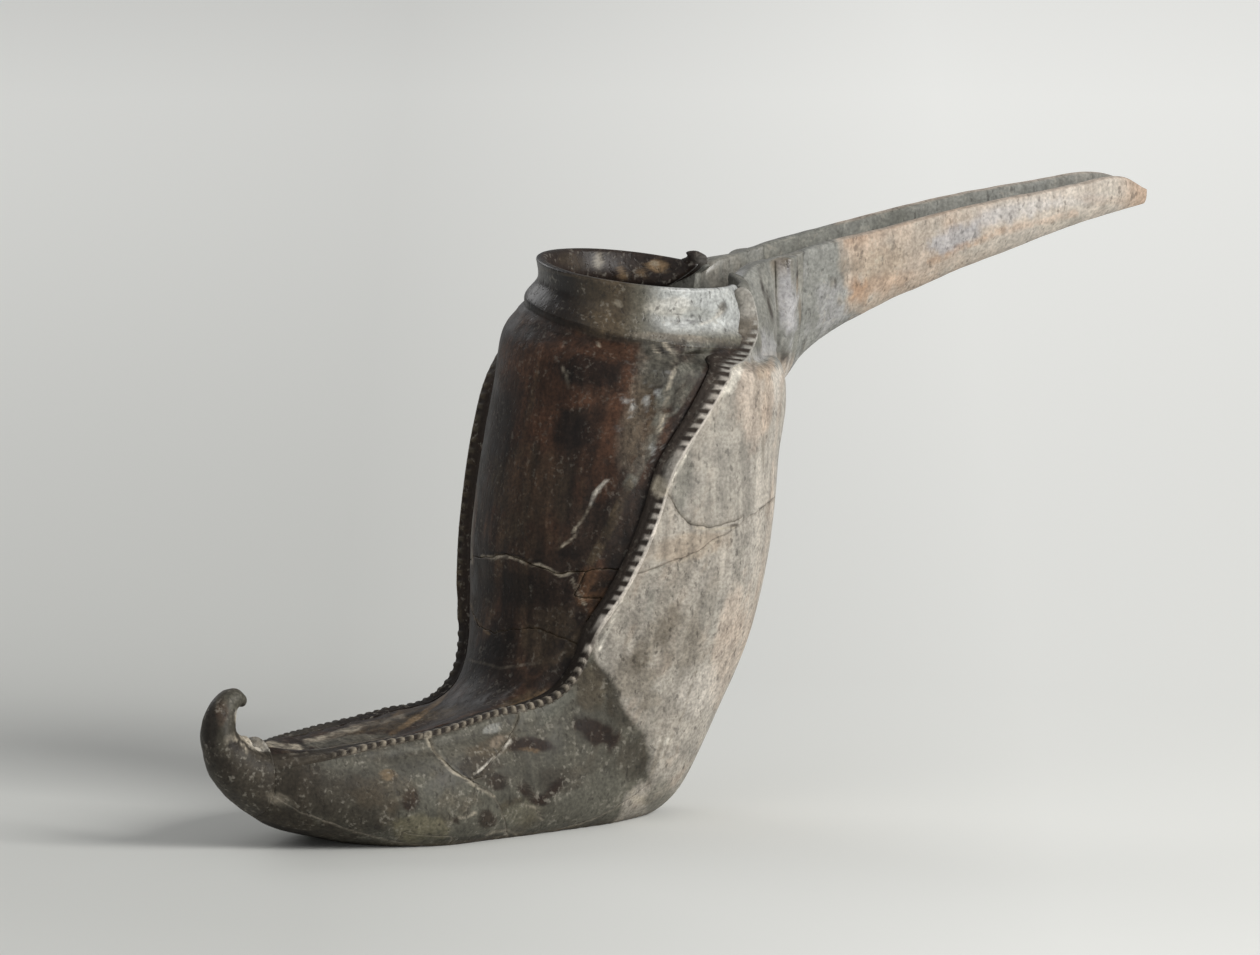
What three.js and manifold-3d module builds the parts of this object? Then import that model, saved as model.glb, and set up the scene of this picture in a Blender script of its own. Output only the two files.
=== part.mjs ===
import * as THREE from 'three';
import { mergeVertices } from 'three/addons/utils/BufferGeometryUtils.js';
import Module from 'manifold-3d';

const wasm = await Module();
wasm.setup();

// Driving dimensions in millimetres. X runs from the toe to the spout and Z is up.
const bootHeight = 167;
const legRadius = 51;
const footLength = 96;
const footHalfWidth = 37;
const neckRadius = 39;
const neckBack = 36.5;
const neckOffset = 8;
const neckDrop = 8.5;
const neckHeight = 14;
const neckSwell = 3;
const rimDrop = 4.5;
const wall = 4.6;
const soleWall = 6.5;
const joint = 0.36;

// The notched welts along the two seams, and the panel sunk between them
const weltWidth = 5.4;
const weltHeight = 3.2;
const notchPitch = 4;
const notchDepth = 1.7;
const notchShares = [0.3, 0.7];
const weltFlare = 1.2;
const arrisShare = 0.3;
const arrisNotchShare = 0.2;
const bevelShare = -0.22;
const bevelRiseShare = 0.6;
const panelSink = 2.4;
const collarLip = 1.2;
const grooveDepth = 11;

// The toe curl
const curlReach = 15.5;
const curlRise = 25.5;

// The spout, an open trough that leaves the neck through a slot at the back
const spoutLength = 172;
const spoutRise = 41;
const spoutHalfWidth = 11.6;
const spoutWall = 4.2;
const narrowShare = 0.4;
const troughRoundness = 0.8;
const tipLength = 19;
const rootLength = 16.5;
const slotLeft = 9.5;
const slotMargin = 2;
const rootReach = 32;
const rootHalfWidth = 57;
const rootTopHalfWidth = 23;
const bandStart = 5;
const bandWidth = 8.6;
const bandThickness = 2.6;
const bandEdgeShare = 0.3;
const knobRise = 3.6;

// Numbers of facets and rows
const sideColumns = 7;
const backColumns = 6;
const panelColumns = 8;
const curlSides = 14;
const flareStations = 3;
const rootCurve = 0.5;
const rootTopCurve = 1.2;
const rootRows = 8;
const rootEndRows = 4;
const bandRows = 6;
const troughRows = 14;
const tipRows = 5;
const spoutArcs = 8;

const degree = Math.PI / 180;

// Sections of the boot, from the toe to the shoulder, each a round closed by the points front and
// back. These are shares of the leg radius, foot length and boot height. Side is the half width as
// a share of the foot's, waist says how far behind the front the section is widest, power how
// square its back is, and left and right are the angles of the two seams from the front.
const bootShares = [
  { front: [-1.06, -1.0, 0.222], back: [-1.08, -1.0, 0.068], side: 0.3, waist: 0.5, power: 2.0, left: 58, right: 54 },
  { front: [-1.06, -0.87, 0.231], back: [-1.12, -0.87, 0.036], side: 0.55, waist: 0.56, power: 2.1, left: 54, right: 55 },
  { front: [-1.06, -0.66, 0.247], back: [-1.14, -0.66, 0.004], side: 0.84, waist: 0.6, power: 2.4, left: 50, right: 58 },
  { front: [-1.06, -0.43, 0.268], back: [-1.14, -0.43, -0.026], side: 1.0, waist: 0.62, power: 2.6, left: 47, right: 57 },
  { front: [-1.06, -0.23, 0.297], back: [-1.02, -0.23, -0.03], side: 0.98, waist: 0.64, power: 2.6, left: 43, right: 54 },
  { front: [-1.06, -0.12, 0.33], back: [-0.7, -0.08, -0.03], side: 0.95, waist: 0.66, power: 2.5, left: 42, right: 52 },
  { front: [-1.06, -0.06, 0.37], back: [-0.23, 0, -0.024], side: 0.96, waist: 0.58, power: 2.3, left: 45, right: 51 },
  { front: [-1.05, -0.02, 0.41], back: [0.22, 0, 0.018], side: 1.04, waist: 0.5, power: 2.1, left: 48, right: 50 },
  { front: [-1.04, 0, 0.455], back: [0.53, 0, 0.165], side: 1.18, waist: 0.48, power: 2.0, left: 51, right: 49 },
  { front: [-1.03, 0, 0.506], back: [0.76, 0, 0.306], side: 1.29, waist: 0.49, power: 2.0, left: 55, right: 49 },
  { front: [-1.02, 0, 0.565], back: [0.9, 0, 0.441], side: 1.35, waist: 0.5, power: 2.0, left: 59, right: 49 },
  { front: [-0.98, 0, 0.635], back: [0.98, 0, 0.571], side: 1.37, waist: 0.5, power: 2.0, left: 64, right: 49 },
  { front: [-0.92, 0, 0.729], back: [1.03, 0, 0.706], side: 1.355, waist: 0.5, power: 2.0, left: 71, right: 49 },
  { front: [-0.85, 0, 0.835], back: [1.1, 0, 0.812], side: 1.32, waist: 0.5, power: 2.0, left: 80, right: 54 },
  { front: [-0.79, 0, 0.93], back: [1.06, 0, 0.895], side: 1.28, waist: 0.5, power: 2.0, left: 91, right: 80 },
  { front: [-0.69, 0, 0.974], back: [0.9, 0, 0.922], side: 1.14, waist: 0.51, power: 2.0, left: 101, right: 107 },
];

// Sections of the neck: radius is a share of the neck's and rise a share of its height
const neckShares = [
  { radius: 1.0, rise: 0, left: 110, right: 119 },
  { radius: 0.925, rise: 0.5, left: 126, right: 143 },
  { radius: 0.94, rise: 1, left: 124, right: 163 },
];

// How far each section leans towards the left side, how deep the panel's groove is, and how far
// the neck swells at the back of its left side
const leanShares = [0, 0, 0, 0, 0, 0, 0, 0, 0, 0, 0, 0, 0.02, 0.06, 0.11, 0.16, 0.18, 0.15, 0.11, 0.11];
const grooveShares = [0, 0.5, 0.9, 1, 1, 0.8, 0.5, 0.2, 0.05, 0, 0, 0, 0, 0, 0, 0, 0, 0, 0, 0];
const swellShares = [0, 0, 0, 0, 0, 0, 0, 0, 0, 0, 0, 0, 0, 0, 0, 0.3, 0.8, 1, 0.1, 0];

// The welts and the panel between them rise out of the toe, with these shares of their height and depth
const weltShares = [0.3, 0.6, 0.9, 1, 1, 1, 1, 1, 1, 1, 1, 1, 1, 1, 1, 1, 1, 1, 1, 1];
const sinkShares = [0.2, 0.6, 0.9, 1, 1, 1, 1, 1, 1, 1, 1, 1, 1, 1, 1, 1, 1, 1, 1, 1];
const underDegrees = [116, 116, 117, 118, 118, 118, 119, 122, 126, 130, 132, 134, 136, 142, 152, 162];

// Rows of facets between each station and the next
const rowsBetween = [2, 3, 3, 3, 2, 3, 4, 4, 3, 3, 2, 2, 3, 3, 4, 4, 4, 4, 2];

const bootStations = bootShares.map(({ front, back, side, ...rest }, index) => ({
  front: [front[0] * legRadius + front[1] * footLength, front[2] * bootHeight],
  back: [back[0] * legRadius + back[1] * footLength, back[2] * bootHeight],
  side: side * footHalfWidth,
  under: underDegrees[index],
  ...rest,
}));

const neckStation = ({ radius, rise, left, right }, lift) => ({
  front: [neckOffset - radius * neckRadius, bootHeight + rise * neckHeight + lift],
  back: [
    neckOffset + radius * neckBack,
    bootHeight + rise * neckHeight - THREE.MathUtils.lerp(neckDrop, rimDrop, rise) + lift,
  ],
  side: radius * neckRadius,
  waist: neckRadius / (neckRadius + neckBack),
  power: 2,
  under: 180 - Math.asin(slotLeft / neckBack) / degree,
  left,
  right,
});

const stations = [
  ...bootStations,
  ...neckShares.map((share) => neckStation(share, 0)),
  neckStation(neckShares[neckShares.length - 1], knobRise),
];
const lastStation = stations.length - 1;

function track(read) {
  const points = stations.map((station, index) => new THREE.Vector3(...read(station, index)));
  return new THREE.CatmullRomCurve3(points, false, 'catmullrom', 0.5);
}

const fronts = track((station) => [station.front[0], 0, station.front[1]]);
const backs = track((station) => [station.back[0], 0, station.back[1]]);
const rounds = track((station) => [station.side, station.waist, station.power]);
const seams = track((station) => [station.left, station.right, station.under]);
const leans = track((station, index) => [leanShares[index], grooveShares[index], swellShares[index]]);
const trims = track((station, index) => [weltShares[index], sinkShares[index], 0]);

const sections = new Map();

// Everything that shapes the section at one place along the boot
function sectionAt(place) {
  if (!sections.has(place)) {
    const share = THREE.MathUtils.clamp(place / lastStation, 0, 1);
    const front = fronts.getPoint(share);
    const back = backs.getPoint(share);
    const round = rounds.getPoint(share);
    const seam = seams.getPoint(share);
    const lean = leans.getPoint(share);
    const trim = trims.getPoint(share);
    const depth = front.distanceTo(back);
    const forward = front.clone().sub(back).normalize();
    const slant = (curve) => 1 / forward.clone().cross(curve.getTangent(share)).length();
    sections.set(place, {
      centre: front.clone().addScaledVector(forward, -depth * round.y),
      forward,
      front: depth * round.y,
      back: depth * (1 - round.y),
      frontSlant: Math.min(slant(fronts), 1.5),
      backSlant: Math.min(slant(backs), 1.5),
      side: round.x,
      power: round.z,
      left: seam.x * degree,
      right: seam.y * degree,
      under: seam.z * degree,
      lean: lean.x,
      groove: lean.y * grooveDepth,
      swell: lean.z * neckSwell,
      rise: trim.x,
      sink: trim.y * panelSink,
    });
  }
  return sections.get(place);
}

// A point of the boot's skin: place along the boot, turn from the front towards the left side,
// and lift out of the skin. Below the ground the skin is cut flat.
function skin(place, turn, lift) {
  const section = sectionAt(place);
  const cosine = Math.cos(turn);
  const sine = Math.sin(turn);
  const ahead = cosine > 0;
  const raised = lift + section.swell * Math.max(sine, 0) * Math.max(-2 * cosine, 0);
  const reach = ahead ? section.front + raised * section.frontSlant : section.back + raised * section.backSlant;
  const power = ahead ? 2 : section.power;
  const across = Math.abs(sine) / (section.side + raised);
  const round = ((Math.abs(cosine) / reach) ** power + across ** power) ** (-1 / power);
  const climb = section.forward.z * cosine - section.lean * sine;
  const floor = Math.max(-lift, 0);
  const radius = climb < 0 ? Math.min(round, (section.centre.z - floor) / -climb) : round;
  const point = section.centre.clone().addScaledVector(section.forward, cosine * radius);
  point.y = -sine * radius;
  point.z += section.lean * point.y;
  return point;
}

// The angle that a width takes up on the skin
function spread(place, turn, width) {
  const step = degree;
  const arc = skin(place, turn + step, 0).distanceTo(skin(place, turn - step, 0));
  return (width * 2 * step) / arc;
}

// The share of a station that a length takes up along the skin
function stride(place, turn, length) {
  const step = 0.02;
  const before = Math.max(place - step, 0);
  const after = Math.min(place + step, lastStation);
  return (length * (after - before)) / skin(after, turn, 0).distanceTo(skin(before, turn, 0));
}

// The angle of a seam from the front, on the left side or, with side -1, on the right
function seamTurn(place, side) {
  return side > 0 ? sectionAt(place).left : -sectionAt(place).right;
}

// How much of its flare the wall has beside the seams, which fades out at the toe and below the neck
function flareShareAt(place) {
  return sectionAt(place).rise * THREE.MathUtils.clamp((bootShares.length - place) / flareStations, 0, 1);
}

// The angle of the line that runs beside a seam, an offset away from the panel
function besideSeam(place, side, offset) {
  const step = 0.1;
  const turn = seamTurn(place, side);
  const before = Math.max(place - step, 0);
  const after = Math.min(place + step, lastStation);
  const along = skin(after, turn, 0).distanceTo(skin(before, turn, 0));
  const path = skin(after, seamTurn(after, side), 0).distanceTo(skin(before, seamTurn(before, side), 0));
  return turn + side * spread(place, turn, (offset * path) / along);
}

const rows = [0];
rowsBetween.forEach((count, station) => {
  for (let row = 1; row <= count; row += 1) {
    rows.push(station + row / count);
  }
});

// The row nearest to a station
function rowAt(station) {
  return rows.reduce((best, place, row) => (Math.abs(place - station) < Math.abs(rows[best] - station) ? row : best), 0);
}

const neckRow = rowAt(16);
const rimRow = rowAt(18);

function solidFrom(corners, faces) {
  const geometry = new THREE.BufferGeometry();
  geometry.setAttribute('position', new THREE.Float32BufferAttribute(corners.flatMap((point) => point.toArray()), 3));
  geometry.setIndex(faces.flat());
  let volume = 0;
  faces.forEach(([a, b, c]) => {
    volume += corners[a].dot(corners[b].clone().cross(corners[c]));
  });
  if (volume < 0) {
    geometry.setIndex(faces.flatMap(([a, b, c]) => [a, c, b]));
  }
  return geometry;
}

// Two triangles for a four-sided face, split along its shorter diagonal
function split(corners, [a, b, c, d]) {
  const across = corners[a].distanceTo(corners[c]) > corners[b].distanceTo(corners[d]);
  return across ? [[a, b, d], [b, c, d]] : [[a, b, c], [a, c, d]];
}

// A closed shell over the cells of a grid that are present, with an outer and an inner layer
function shell(rowCount, columnCount, place, present = () => true) {
  const corners = [];
  const faces = [];
  const known = new Map();
  const filled = (row, column) =>
    row >= 0 && row < rowCount && column >= 0 && column < columnCount && present(row, column);
  const corner = (row, column, layer) => {
    const key = `${row} ${column} ${layer}`;
    if (!known.has(key)) {
      const up = filled(row, column) || filled(row, column - 1);
      const down = filled(row - 1, column) || filled(row - 1, column - 1);
      const right = filled(row, column) || filled(row - 1, column);
      const left = filled(row, column - 1) || filled(row - 1, column - 1);
      known.set(key, corners.length);
      corners.push(place(row, column, layer, Number(up) - Number(down), Number(right) - Number(left)));
    }
    return known.get(key);
  };
  const quad = (...ring) => faces.push(...split(corners, ring));
  for (let row = 0; row < rowCount; row += 1) {
    for (let column = 0; column < columnCount; column += 1) {
      if (filled(row, column)) {
        const ring = [[row, column], [row, column + 1], [row + 1, column + 1], [row + 1, column]];
        const outer = ring.map(([r, c]) => corner(r, c, 0));
        const inner = ring.map(([r, c]) => corner(r, c, 1));
        const beyond = [[row - 1, column], [row, column + 1], [row + 1, column], [row, column - 1]];
        quad(...outer);
        quad(inner[3], inner[2], inner[1], inner[0]);
        beyond.forEach(([r, c], side) => {
          if (!filled(r, c)) {
            const next = (side + 1) % 4;
            quad(outer[side], inner[side], inner[next], outer[next]);
          }
        });
      }
    }
  }
  return solidFrom(corners, faces);
}

// The outer wall's grid runs from the left seam round the back to the right seam
const wallColumns = 2 * sideColumns + backColumns;

function wallTurn(place, column, inset) {
  const { lerp } = THREE.MathUtils;
  const fullTurn = 2 * Math.PI;
  const leftEdge = besideSeam(place, 1, weltWidth / 2 + inset);
  const rightEdge = besideSeam(place, -1, weltWidth / 2 - inset);
  const margin = spread(place, leftEdge, slotMargin);
  const leftUnder = Math.max(sectionAt(place).under, leftEdge + margin);
  const rightUnder = fullTurn - Math.max(sectionAt(place).under, margin - rightEdge);
  if (column <= sideColumns) {
    return lerp(leftEdge, leftUnder, column / sideColumns);
  }
  if (column <= sideColumns + backColumns) {
    return lerp(leftUnder, rightUnder, (column - sideColumns) / backColumns);
  }
  return lerp(rightUnder, fullTurn + rightEdge, (column - sideColumns - backColumns) / sideColumns);
}

const footCrackRow = rowAt(3.33);
const instepRow = rowAt(4.5);
const legBreakRow = rowAt(10.5);
const flankRow = rowAt(11.5);

// Break lines bend the rows of facets near them. Each gives the stations that one row passes
// through at each column from the left seam on, and where it gives none the row is straight.
const wallLines = [
  { row: rowAt(1), placeShares: [] },
  {
    row: footCrackRow,
    placeShares: [
      2.81, 2.86, 3.0, 3.31, 3.7, 3.87, 4.01, 4.18, 4.05, 3.8, 3.6,
      3.5, 3.45, 3.4, 3.2, 3.1, 3.15, 3.35, 3.6, 3.75, 3.8,
    ],
  },
  { row: instepRow, placeShares: [4.7, 4.4, 3.9, 3.52, 4.08, 4.42, 4.68, 4.85] },
  { row: rowAt(8), placeShares: [] },
  {
    row: legBreakRow,
    placeShares: [
      9.7, 10.07, 10.38, 10.75, 11.0, 11.2, 11.31, 11.35, 11.3, 11.2, 11.1,
      11.0, 10.8, 10.5, 10.2, 9.9, 9.7, 9.5, 9.4, 9.3, 9.2,
    ],
  },
  {
    row: flankRow,
    placeShares: [
      11.45, 11.05, 10.87, 10.95, 11.12, 11.5, 11.68, 11.72, 11.7, 11.65, 11.6,
      11.6, 11.5, 11.4, 11.4, 11.3, 11.3, 11.2, 11.2, 11.2, 11.2,
    ],
  },
  { row: rowAt(13.67), placeShares: [] },
];

// The station of a row at a column, between the break lines above and below it
function bend(lines, row, column) {
  const sway = (line) => (line && column in line.placeShares ? line.placeShares[column] - rows[line.row] : 0);
  const above = lines.findIndex((line) => line.row >= row);
  const upper = lines[above];
  const lower = lines[above - 1];
  if (!upper || !lower) {
    return rows[row];
  }
  const share = (row - lower.row) / (upper.row - lower.row);
  return rows[row] + THREE.MathUtils.lerp(sway(lower), sway(upper), share);
}

function wallPiece(present, thickness, rowCount = rimRow) {
  const place = (row, column, layer, inRow, inColumn) => {
    const straight = bend(wallLines, row, column);
    const turn = wallTurn(straight, column, 0);
    const moved = Math.max(straight + inRow * stride(straight, turn, joint / 2), 0);
    const atSeam = column === 0 || column === wallColumns;
    const swung = atSeam
      ? wallTurn(straight, column, inColumn * joint / 2)
      : turn + inColumn * spread(moved, turn, joint / 2);
    const flare = atSeam ? weltFlare * flareShareAt(moved) : 0;
    return skin(moved, swung, layer ? -thickness : flare);
  };
  return shell(rowCount, wallColumns, place, present);
}

const soleEndRow = rowAt(6.25);
const sillRow = rowAt(14.5);
const isNear = (column) => column < sideColumns;
const isBack = (column) => column >= sideColumns && column < sideColumns + backColumns;
const isFlankSherd = (row, column) => row >= legBreakRow && row < flankRow && column < 4;
const isInstepSherd = (row, column) => row >= footCrackRow && row < instepRow && column < 3;
const isEdgeFill = (row, column) => column === sideColumns - 1 && row >= rowAt(2) && row < rowAt(2.67);
const isSole = (row, column) => isBack(column) && row < soleEndRow;
const isToe = (row, column) => isNear(column) && row < footCrackRow;
const isToeRight = (row, column) => !isNear(column) && !isBack(column) && row < footCrackRow;
const isLeg = (row) => row >= legBreakRow;
const isFoot = (row, column) => isSole(row, column) || isToe(row, column) || isToeRight(row, column);
const isHeel = (row, column) => !isFoot(row, column) && !isInstepSherd(row, column) && !isLeg(row);
const isSlot = (row, column) => isBack(column) && row >= sillRow;

// The panel's grid runs from the right seam over the front to the left seam
function panelTurn(place, column, inset) {
  if (column === 0) {
    return besideSeam(place, -1, weltWidth / 2 - inset);
  }
  if (column === panelColumns + 2) {
    return besideSeam(place, 1, weltWidth / 2 + inset);
  }
  const share = (column - 1) / panelColumns;
  return THREE.MathUtils.lerp(besideSeam(place, -1, -weltWidth / 2), besideSeam(place, 1, -weltWidth / 2), share);
}

const bendRow = rowAt(7.5);
const shinRow = rowAt(9.33);
const panelLines = [
  { row: rowAt(5), placeShares: [] },
  { row: bendRow, placeShares: [8.06, 8.08, 7.88, 7.48, 7.03, 6.82, 7.08, 7.31, 7.42, 7.44, 7.46] },
  { row: shinRow, placeShares: [9.4, 9.37, 9.32, 9.31, 9.37, 9.48, 9.45, 9.33, 9.51, 9.75, 9.8] },
  { row: rowAt(12), placeShares: [] },
];

function panelPiece(present, lipRow) {
  const place = (row, column, layer, inRow, inColumn) => {
    const straight = bend(panelLines, row, column);
    const turn = panelTurn(straight, column, 0);
    const moved = Math.max(straight + inRow * stride(straight, turn, joint / 2), 0);
    const atSeam = column === 0 || column === panelColumns + 2;
    const swung = atSeam
      ? panelTurn(straight, column, inColumn * joint / 2)
      : turn + inColumn * spread(moved, turn, joint / 2);
    const across = THREE.MathUtils.clamp((2 * (column - 1)) / panelColumns - 1, -1, 1);
    const { sink, groove } = sectionAt(moved);
    const lip = row === lipRow ? collarLip : 0;
    const sunk = sink + (Math.max(groove, 0) - lip) * (1 - across ** 2);
    return skin(moved, swung, -sunk - layer * wall);
  };
  return shell(rimRow, panelColumns + 2, place, present);
}

const isPanelFill = (row, column) =>
  row >= shinRow - 4 && row < shinRow && column >= (row < shinRow - 2 ? panelColumns + 1 : panelColumns);

// A welt sits on the panel's margin with the wall butted against it. Its sharp arris runs beside
// the wall, and the bevel that falls from it to the panel is notched.
// Grown, it is plain and larger all round, to cut what stands against it.
function welt(side, overrun, grown = 0) {
  const arris = weltWidth * arrisShare + grown;
  const bevel = weltWidth * bevelShare - grown;
  const profile = (place, shift) => {
    const at = (offset, lift) => skin(place + shift, besideSeam(place, side, offset), lift);
    const { rise, sink } = sectionAt(place);
    const base = joint - sink - grown;
    const half = (weltWidth - joint) / 2 + grown;
    const top = rise * weltHeight + grown;
    const fall = rise * weltHeight * bevelRiseShare + grown;
    const notch = grown ? 0 : rise * notchDepth;
    return {
      foot: [at(-half, base), at(half, base), at(half, weltFlare * flareShareAt(place) + grown)],
      high: [at(arris, top), at(bevel, fall)],
      low: [at(arris, top - notch * arrisNotchShare), at(bevel, fall - notch)],
    };
  };
  const blend = (from, to, share) => from.map((point, index) => point.clone().lerp(to[index], share));
  const rings = [];
  const lastRow = rimRow + overrun;
  let travelled = 0;
  for (let row = 0; row < lastRow; row += 1) {
    const from = profile(rows[row], row === 0 ? stride(0, seamTurn(0, side), joint / 2) : 0);
    const to = profile(rows[row + 1], 0);
    const reached = travelled + from.high[0].distanceTo(to.high[0]);
    const teeth = Math.round(reached / notchPitch) - Math.round(travelled / notchPitch);
    const ring = (crest, share) =>
      rings.push([...blend(from.foot, to.foot, share), ...blend(from[crest], to[crest], share)]);
    ring('high', 0);
    for (let tooth = 0; tooth < teeth; tooth += 1) {
      if (tooth > 0) {
        ring('high', tooth / teeth);
      }
      notchShares.forEach((share) => ring('low', (tooth + share) / teeth));
    }
    travelled = reached;
  }
  const end = profile(rows[lastRow], 0);
  rings.push([...end.foot, ...end.high]);
  return sweep(rings);
}

// A closed solid through rings of points, with flat ends
function sweep(rings) {
  const count = rings[0].length;
  const corners = rings.flat();
  const faces = [];
  for (let ring = 0; ring + 1 < rings.length; ring += 1) {
    for (let index = 0; index < count; index += 1) {
      const next = (index + 1) % count;
      const a = ring * count + index;
      const b = ring * count + next;
      faces.push(...split(corners, [a, b, b + count, a + count]));
    }
  }
  const last = (rings.length - 1) * count;
  for (let index = 1; index + 1 < count; index += 1) {
    faces.push([0, index + 1, index], [last, last + index, last + index + 1]);
  }
  return solidFrom(corners, faces);
}

// The toe curl, the foot's own front section carried up and back to a point
const curlShares = [
  { path: [0.4, 0.04], rise: 0.84, side: 0.8, lean: 10 },
  { path: [0.76, 0.26], rise: 0.62, side: 0.66, lean: 44 },
  { path: [0.93, 0.6], rise: 0.45, side: 0.52, lean: 86 },
  { path: [0.76, 0.92], rise: 0.33, side: 0.4, lean: 138 },
  { path: [0.44, 1.02], rise: 0.16, side: 0.22, lean: 176 },
];

function toeCurl() {
  const section = sectionAt(0);
  const middle = skin(0, 0, 0).lerp(skin(0, Math.PI, 0), 0.5);
  const ahead = new THREE.Vector3(-section.forward.z, 0, section.forward.x);
  const root = Array.from({ length: curlSides }, (_, index) => skin(0, (2 * Math.PI * index) / curlSides, 0));
  root.forEach((point) => point.addScaledVector(ahead, joint / 2));
  const rings = [root];
  curlShares.forEach(({ path, rise, side, lean }) => {
    const centre = middle.clone().addScaledVector(ahead, path[0] * curlReach);
    centre.z += path[1] * curlRise;
    const up = section.forward.clone().applyAxisAngle(new THREE.Vector3(0, 1, 0), lean * degree);
    rings.push(root.map((point) => {
      const offset = point.clone().sub(middle);
      const spot = centre.clone().addScaledVector(up, offset.dot(section.forward) * rise);
      spot.y += offset.y * side;
      return spot;
    }));
  });
  return sweep(rings);
}

// The spout's trough: where it is along the spout, and its top, bottom, floor and half width, as
// shares of the spout's length, rise and half width, the heights counted from the slot's sill
const sill = skin(rows[sillRow], Math.PI, 0);
const spoutShares = [
  { along: -0.12, top: 0.6, bottom: -0.76, floor: 0.04, side: 0.96 },
  { along: 0.0, top: 0.63, bottom: -0.62, floor: 0.04, side: 1.0 },
  { along: 0.08, top: 0.68, bottom: -0.42, floor: 0.04, side: 1.1 },
  { along: 0.14, top: 0.73, bottom: -0.18, floor: 0.1, side: 1.06 },
  { along: 0.25, top: 0.8, bottom: 0.05, floor: 0.22, side: 0.98 },
  { along: 0.5, top: 0.94, bottom: 0.37, floor: 0.5, side: 0.88 },
  { along: 0.75, top: 1.03, bottom: 0.61, floor: 0.72, side: 0.76 },
  { along: 0.9, top: 1.06, bottom: 0.74, floor: 0.83, side: 0.62 },
  { along: 1.0, top: 0.92, bottom: 0.8, floor: 0.87, side: 0.2 },
];
const spoutTrack = (read) =>
  new THREE.CatmullRomCurve3(spoutShares.map((share) => new THREE.Vector3(...read(share))), false, 'centripetal');
const spoutLine = spoutTrack((share) => [share.along * spoutLength, share.top * spoutRise, share.bottom * spoutRise]);
const spoutFloor = spoutTrack((share) => [share.along * spoutLength, share.floor * spoutRise, share.side * spoutHalfWidth]);

// The point of a curve at a distance along the spout
function spoutAt(curve, along) {
  let low = 0;
  let high = 1;
  for (let step = 0; step < 40; step += 1) {
    const middle = (low + high) / 2;
    if (curve.getPoint(middle).x < along) {
      low = middle;
    } else {
      high = middle;
    }
  }
  return curve.getPoint(low);
}

// A point of the spout's section, on a half round from a lip at the top to the bottom
function spoutPoint(along, column, [top, topSide], [bottom, side]) {
  const arc = (Math.PI * column) / spoutArcs;
  const depth = Math.sin(arc) ** troughRoundness;
  const width = THREE.MathUtils.lerp(topSide, side, depth);
  return new THREE.Vector3(sill.x + along, -width * Math.cos(arc), sill.z + THREE.MathUtils.lerp(top, bottom, depth));
}

// The stations at even distances between two places along the spout
function evenly(from, to, count) {
  return Array.from({ length: count + 1 }, (_, index) => THREE.MathUtils.lerp(from, to, index / count));
}

// Near the neck the spout's outside spreads into a saddle over the boot's shoulder
function trough(stops) {
  const { clamp, lerp } = THREE.MathUtils;
  const place = (row, column, layer) => {
    const along = stops[row];
    const line = spoutAt(spoutLine, along);
    const floor = spoutAt(spoutFloor, along);
    if (layer) {
      const inside = Math.max(floor.z - spoutWall, floor.z * narrowShare);
      return spoutPoint(along, column, [line.y, inside], [floor.y, inside]);
    }
    const near = clamp((bandStart - along) / rootReach, 0, 1);
    const topSide = lerp(floor.z, rootTopHalfWidth, near ** rootTopCurve);
    const side = lerp(floor.z, rootHalfWidth, near ** rootCurve);
    return spoutPoint(along, column, [line.y, topSide], [line.z, side]);
  };
  return shell(stops.length - 1, spoutArcs, place);
}

// The roll of clay round the spout's root, thickest along its middle
function spoutBand(rowCount) {
  const place = (row, column, layer) => {
    const share = row / rowCount;
    const along = bandStart + bandWidth * share;
    const line = spoutAt(spoutLine, along);
    const floor = spoutAt(spoutFloor, along);
    const swell = THREE.MathUtils.lerp(bandEdgeShare, 1, Math.sin(Math.PI * share));
    const lift = layer ? joint : joint + bandThickness * swell;
    return spoutPoint(along, column, [line.y, floor.z + lift], [line.z - lift, floor.z + lift]);
  };
  return shell(rowCount, spoutArcs, place);
}

// Booleans
function toSolid(geometry) {
  geometry.deleteAttribute('normal');
  geometry.deleteAttribute('uv');
  const merged = mergeVertices(geometry);
  const vertProperties = new Float32Array(merged.attributes.position.array);
  const triVerts = new Uint32Array(merged.index.array);
  return new wasm.Manifold(new wasm.Mesh({ numProp: 3, vertProperties, triVerts }));
}

function fromSolid(solid) {
  const { vertProperties, triVerts } = solid.getMesh();
  const geometry = new THREE.BufferGeometry();
  geometry.setAttribute('position', new THREE.BufferAttribute(vertProperties, 3));
  geometry.setIndex(new THREE.BufferAttribute(triVerts, 1));
  return geometry;
}

// The leg and neck as one lump, a joint wider all round, which what joins them is cut by
function envelope() {
  const turns = 48;
  const rings = [];
  for (let row = rowAt(10); row <= rows.length - 1; row += 1) {
    rings.push(Array.from({ length: turns }, (_, index) => skin(rows[row], (2 * Math.PI * index) / turns, joint)));
  }
  return toSolid(sweep(rings));
}

const body = envelope()
  .add(toSolid(welt(1, 0, joint)))
  .add(toSolid(welt(-1, 2, joint)));
const welts = toSolid(welt(1, 0, joint / 3)).add(toSolid(welt(-1, 2, joint / 3)));

// The largest of the bodies that a cut leaves
function largest(solid) {
  return solid.decompose().reduce((best, part) => (part.volume() > best.volume() ? part : best));
}

// A piece cleared of the welts, where the neck turns them sharply
const besideWelts = (geometry) => fromSolid(largest(toSolid(geometry).subtract(welts)));

// A piece of the spout cut to stand against the leg and neck
const besideBody = (geometry) => fromSolid(largest(toSolid(geometry).subtract(body)));

const boot = new THREE.Group();

function add(name, geometry, color, roughness = 0.55, metalness = 0) {
  geometry.computeVertexNormals();
  const piece = new THREE.Mesh(geometry, new THREE.MeshStandardMaterial({ color, roughness, metalness }));
  piece.name = name;
  boot.add(piece);
}

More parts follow.
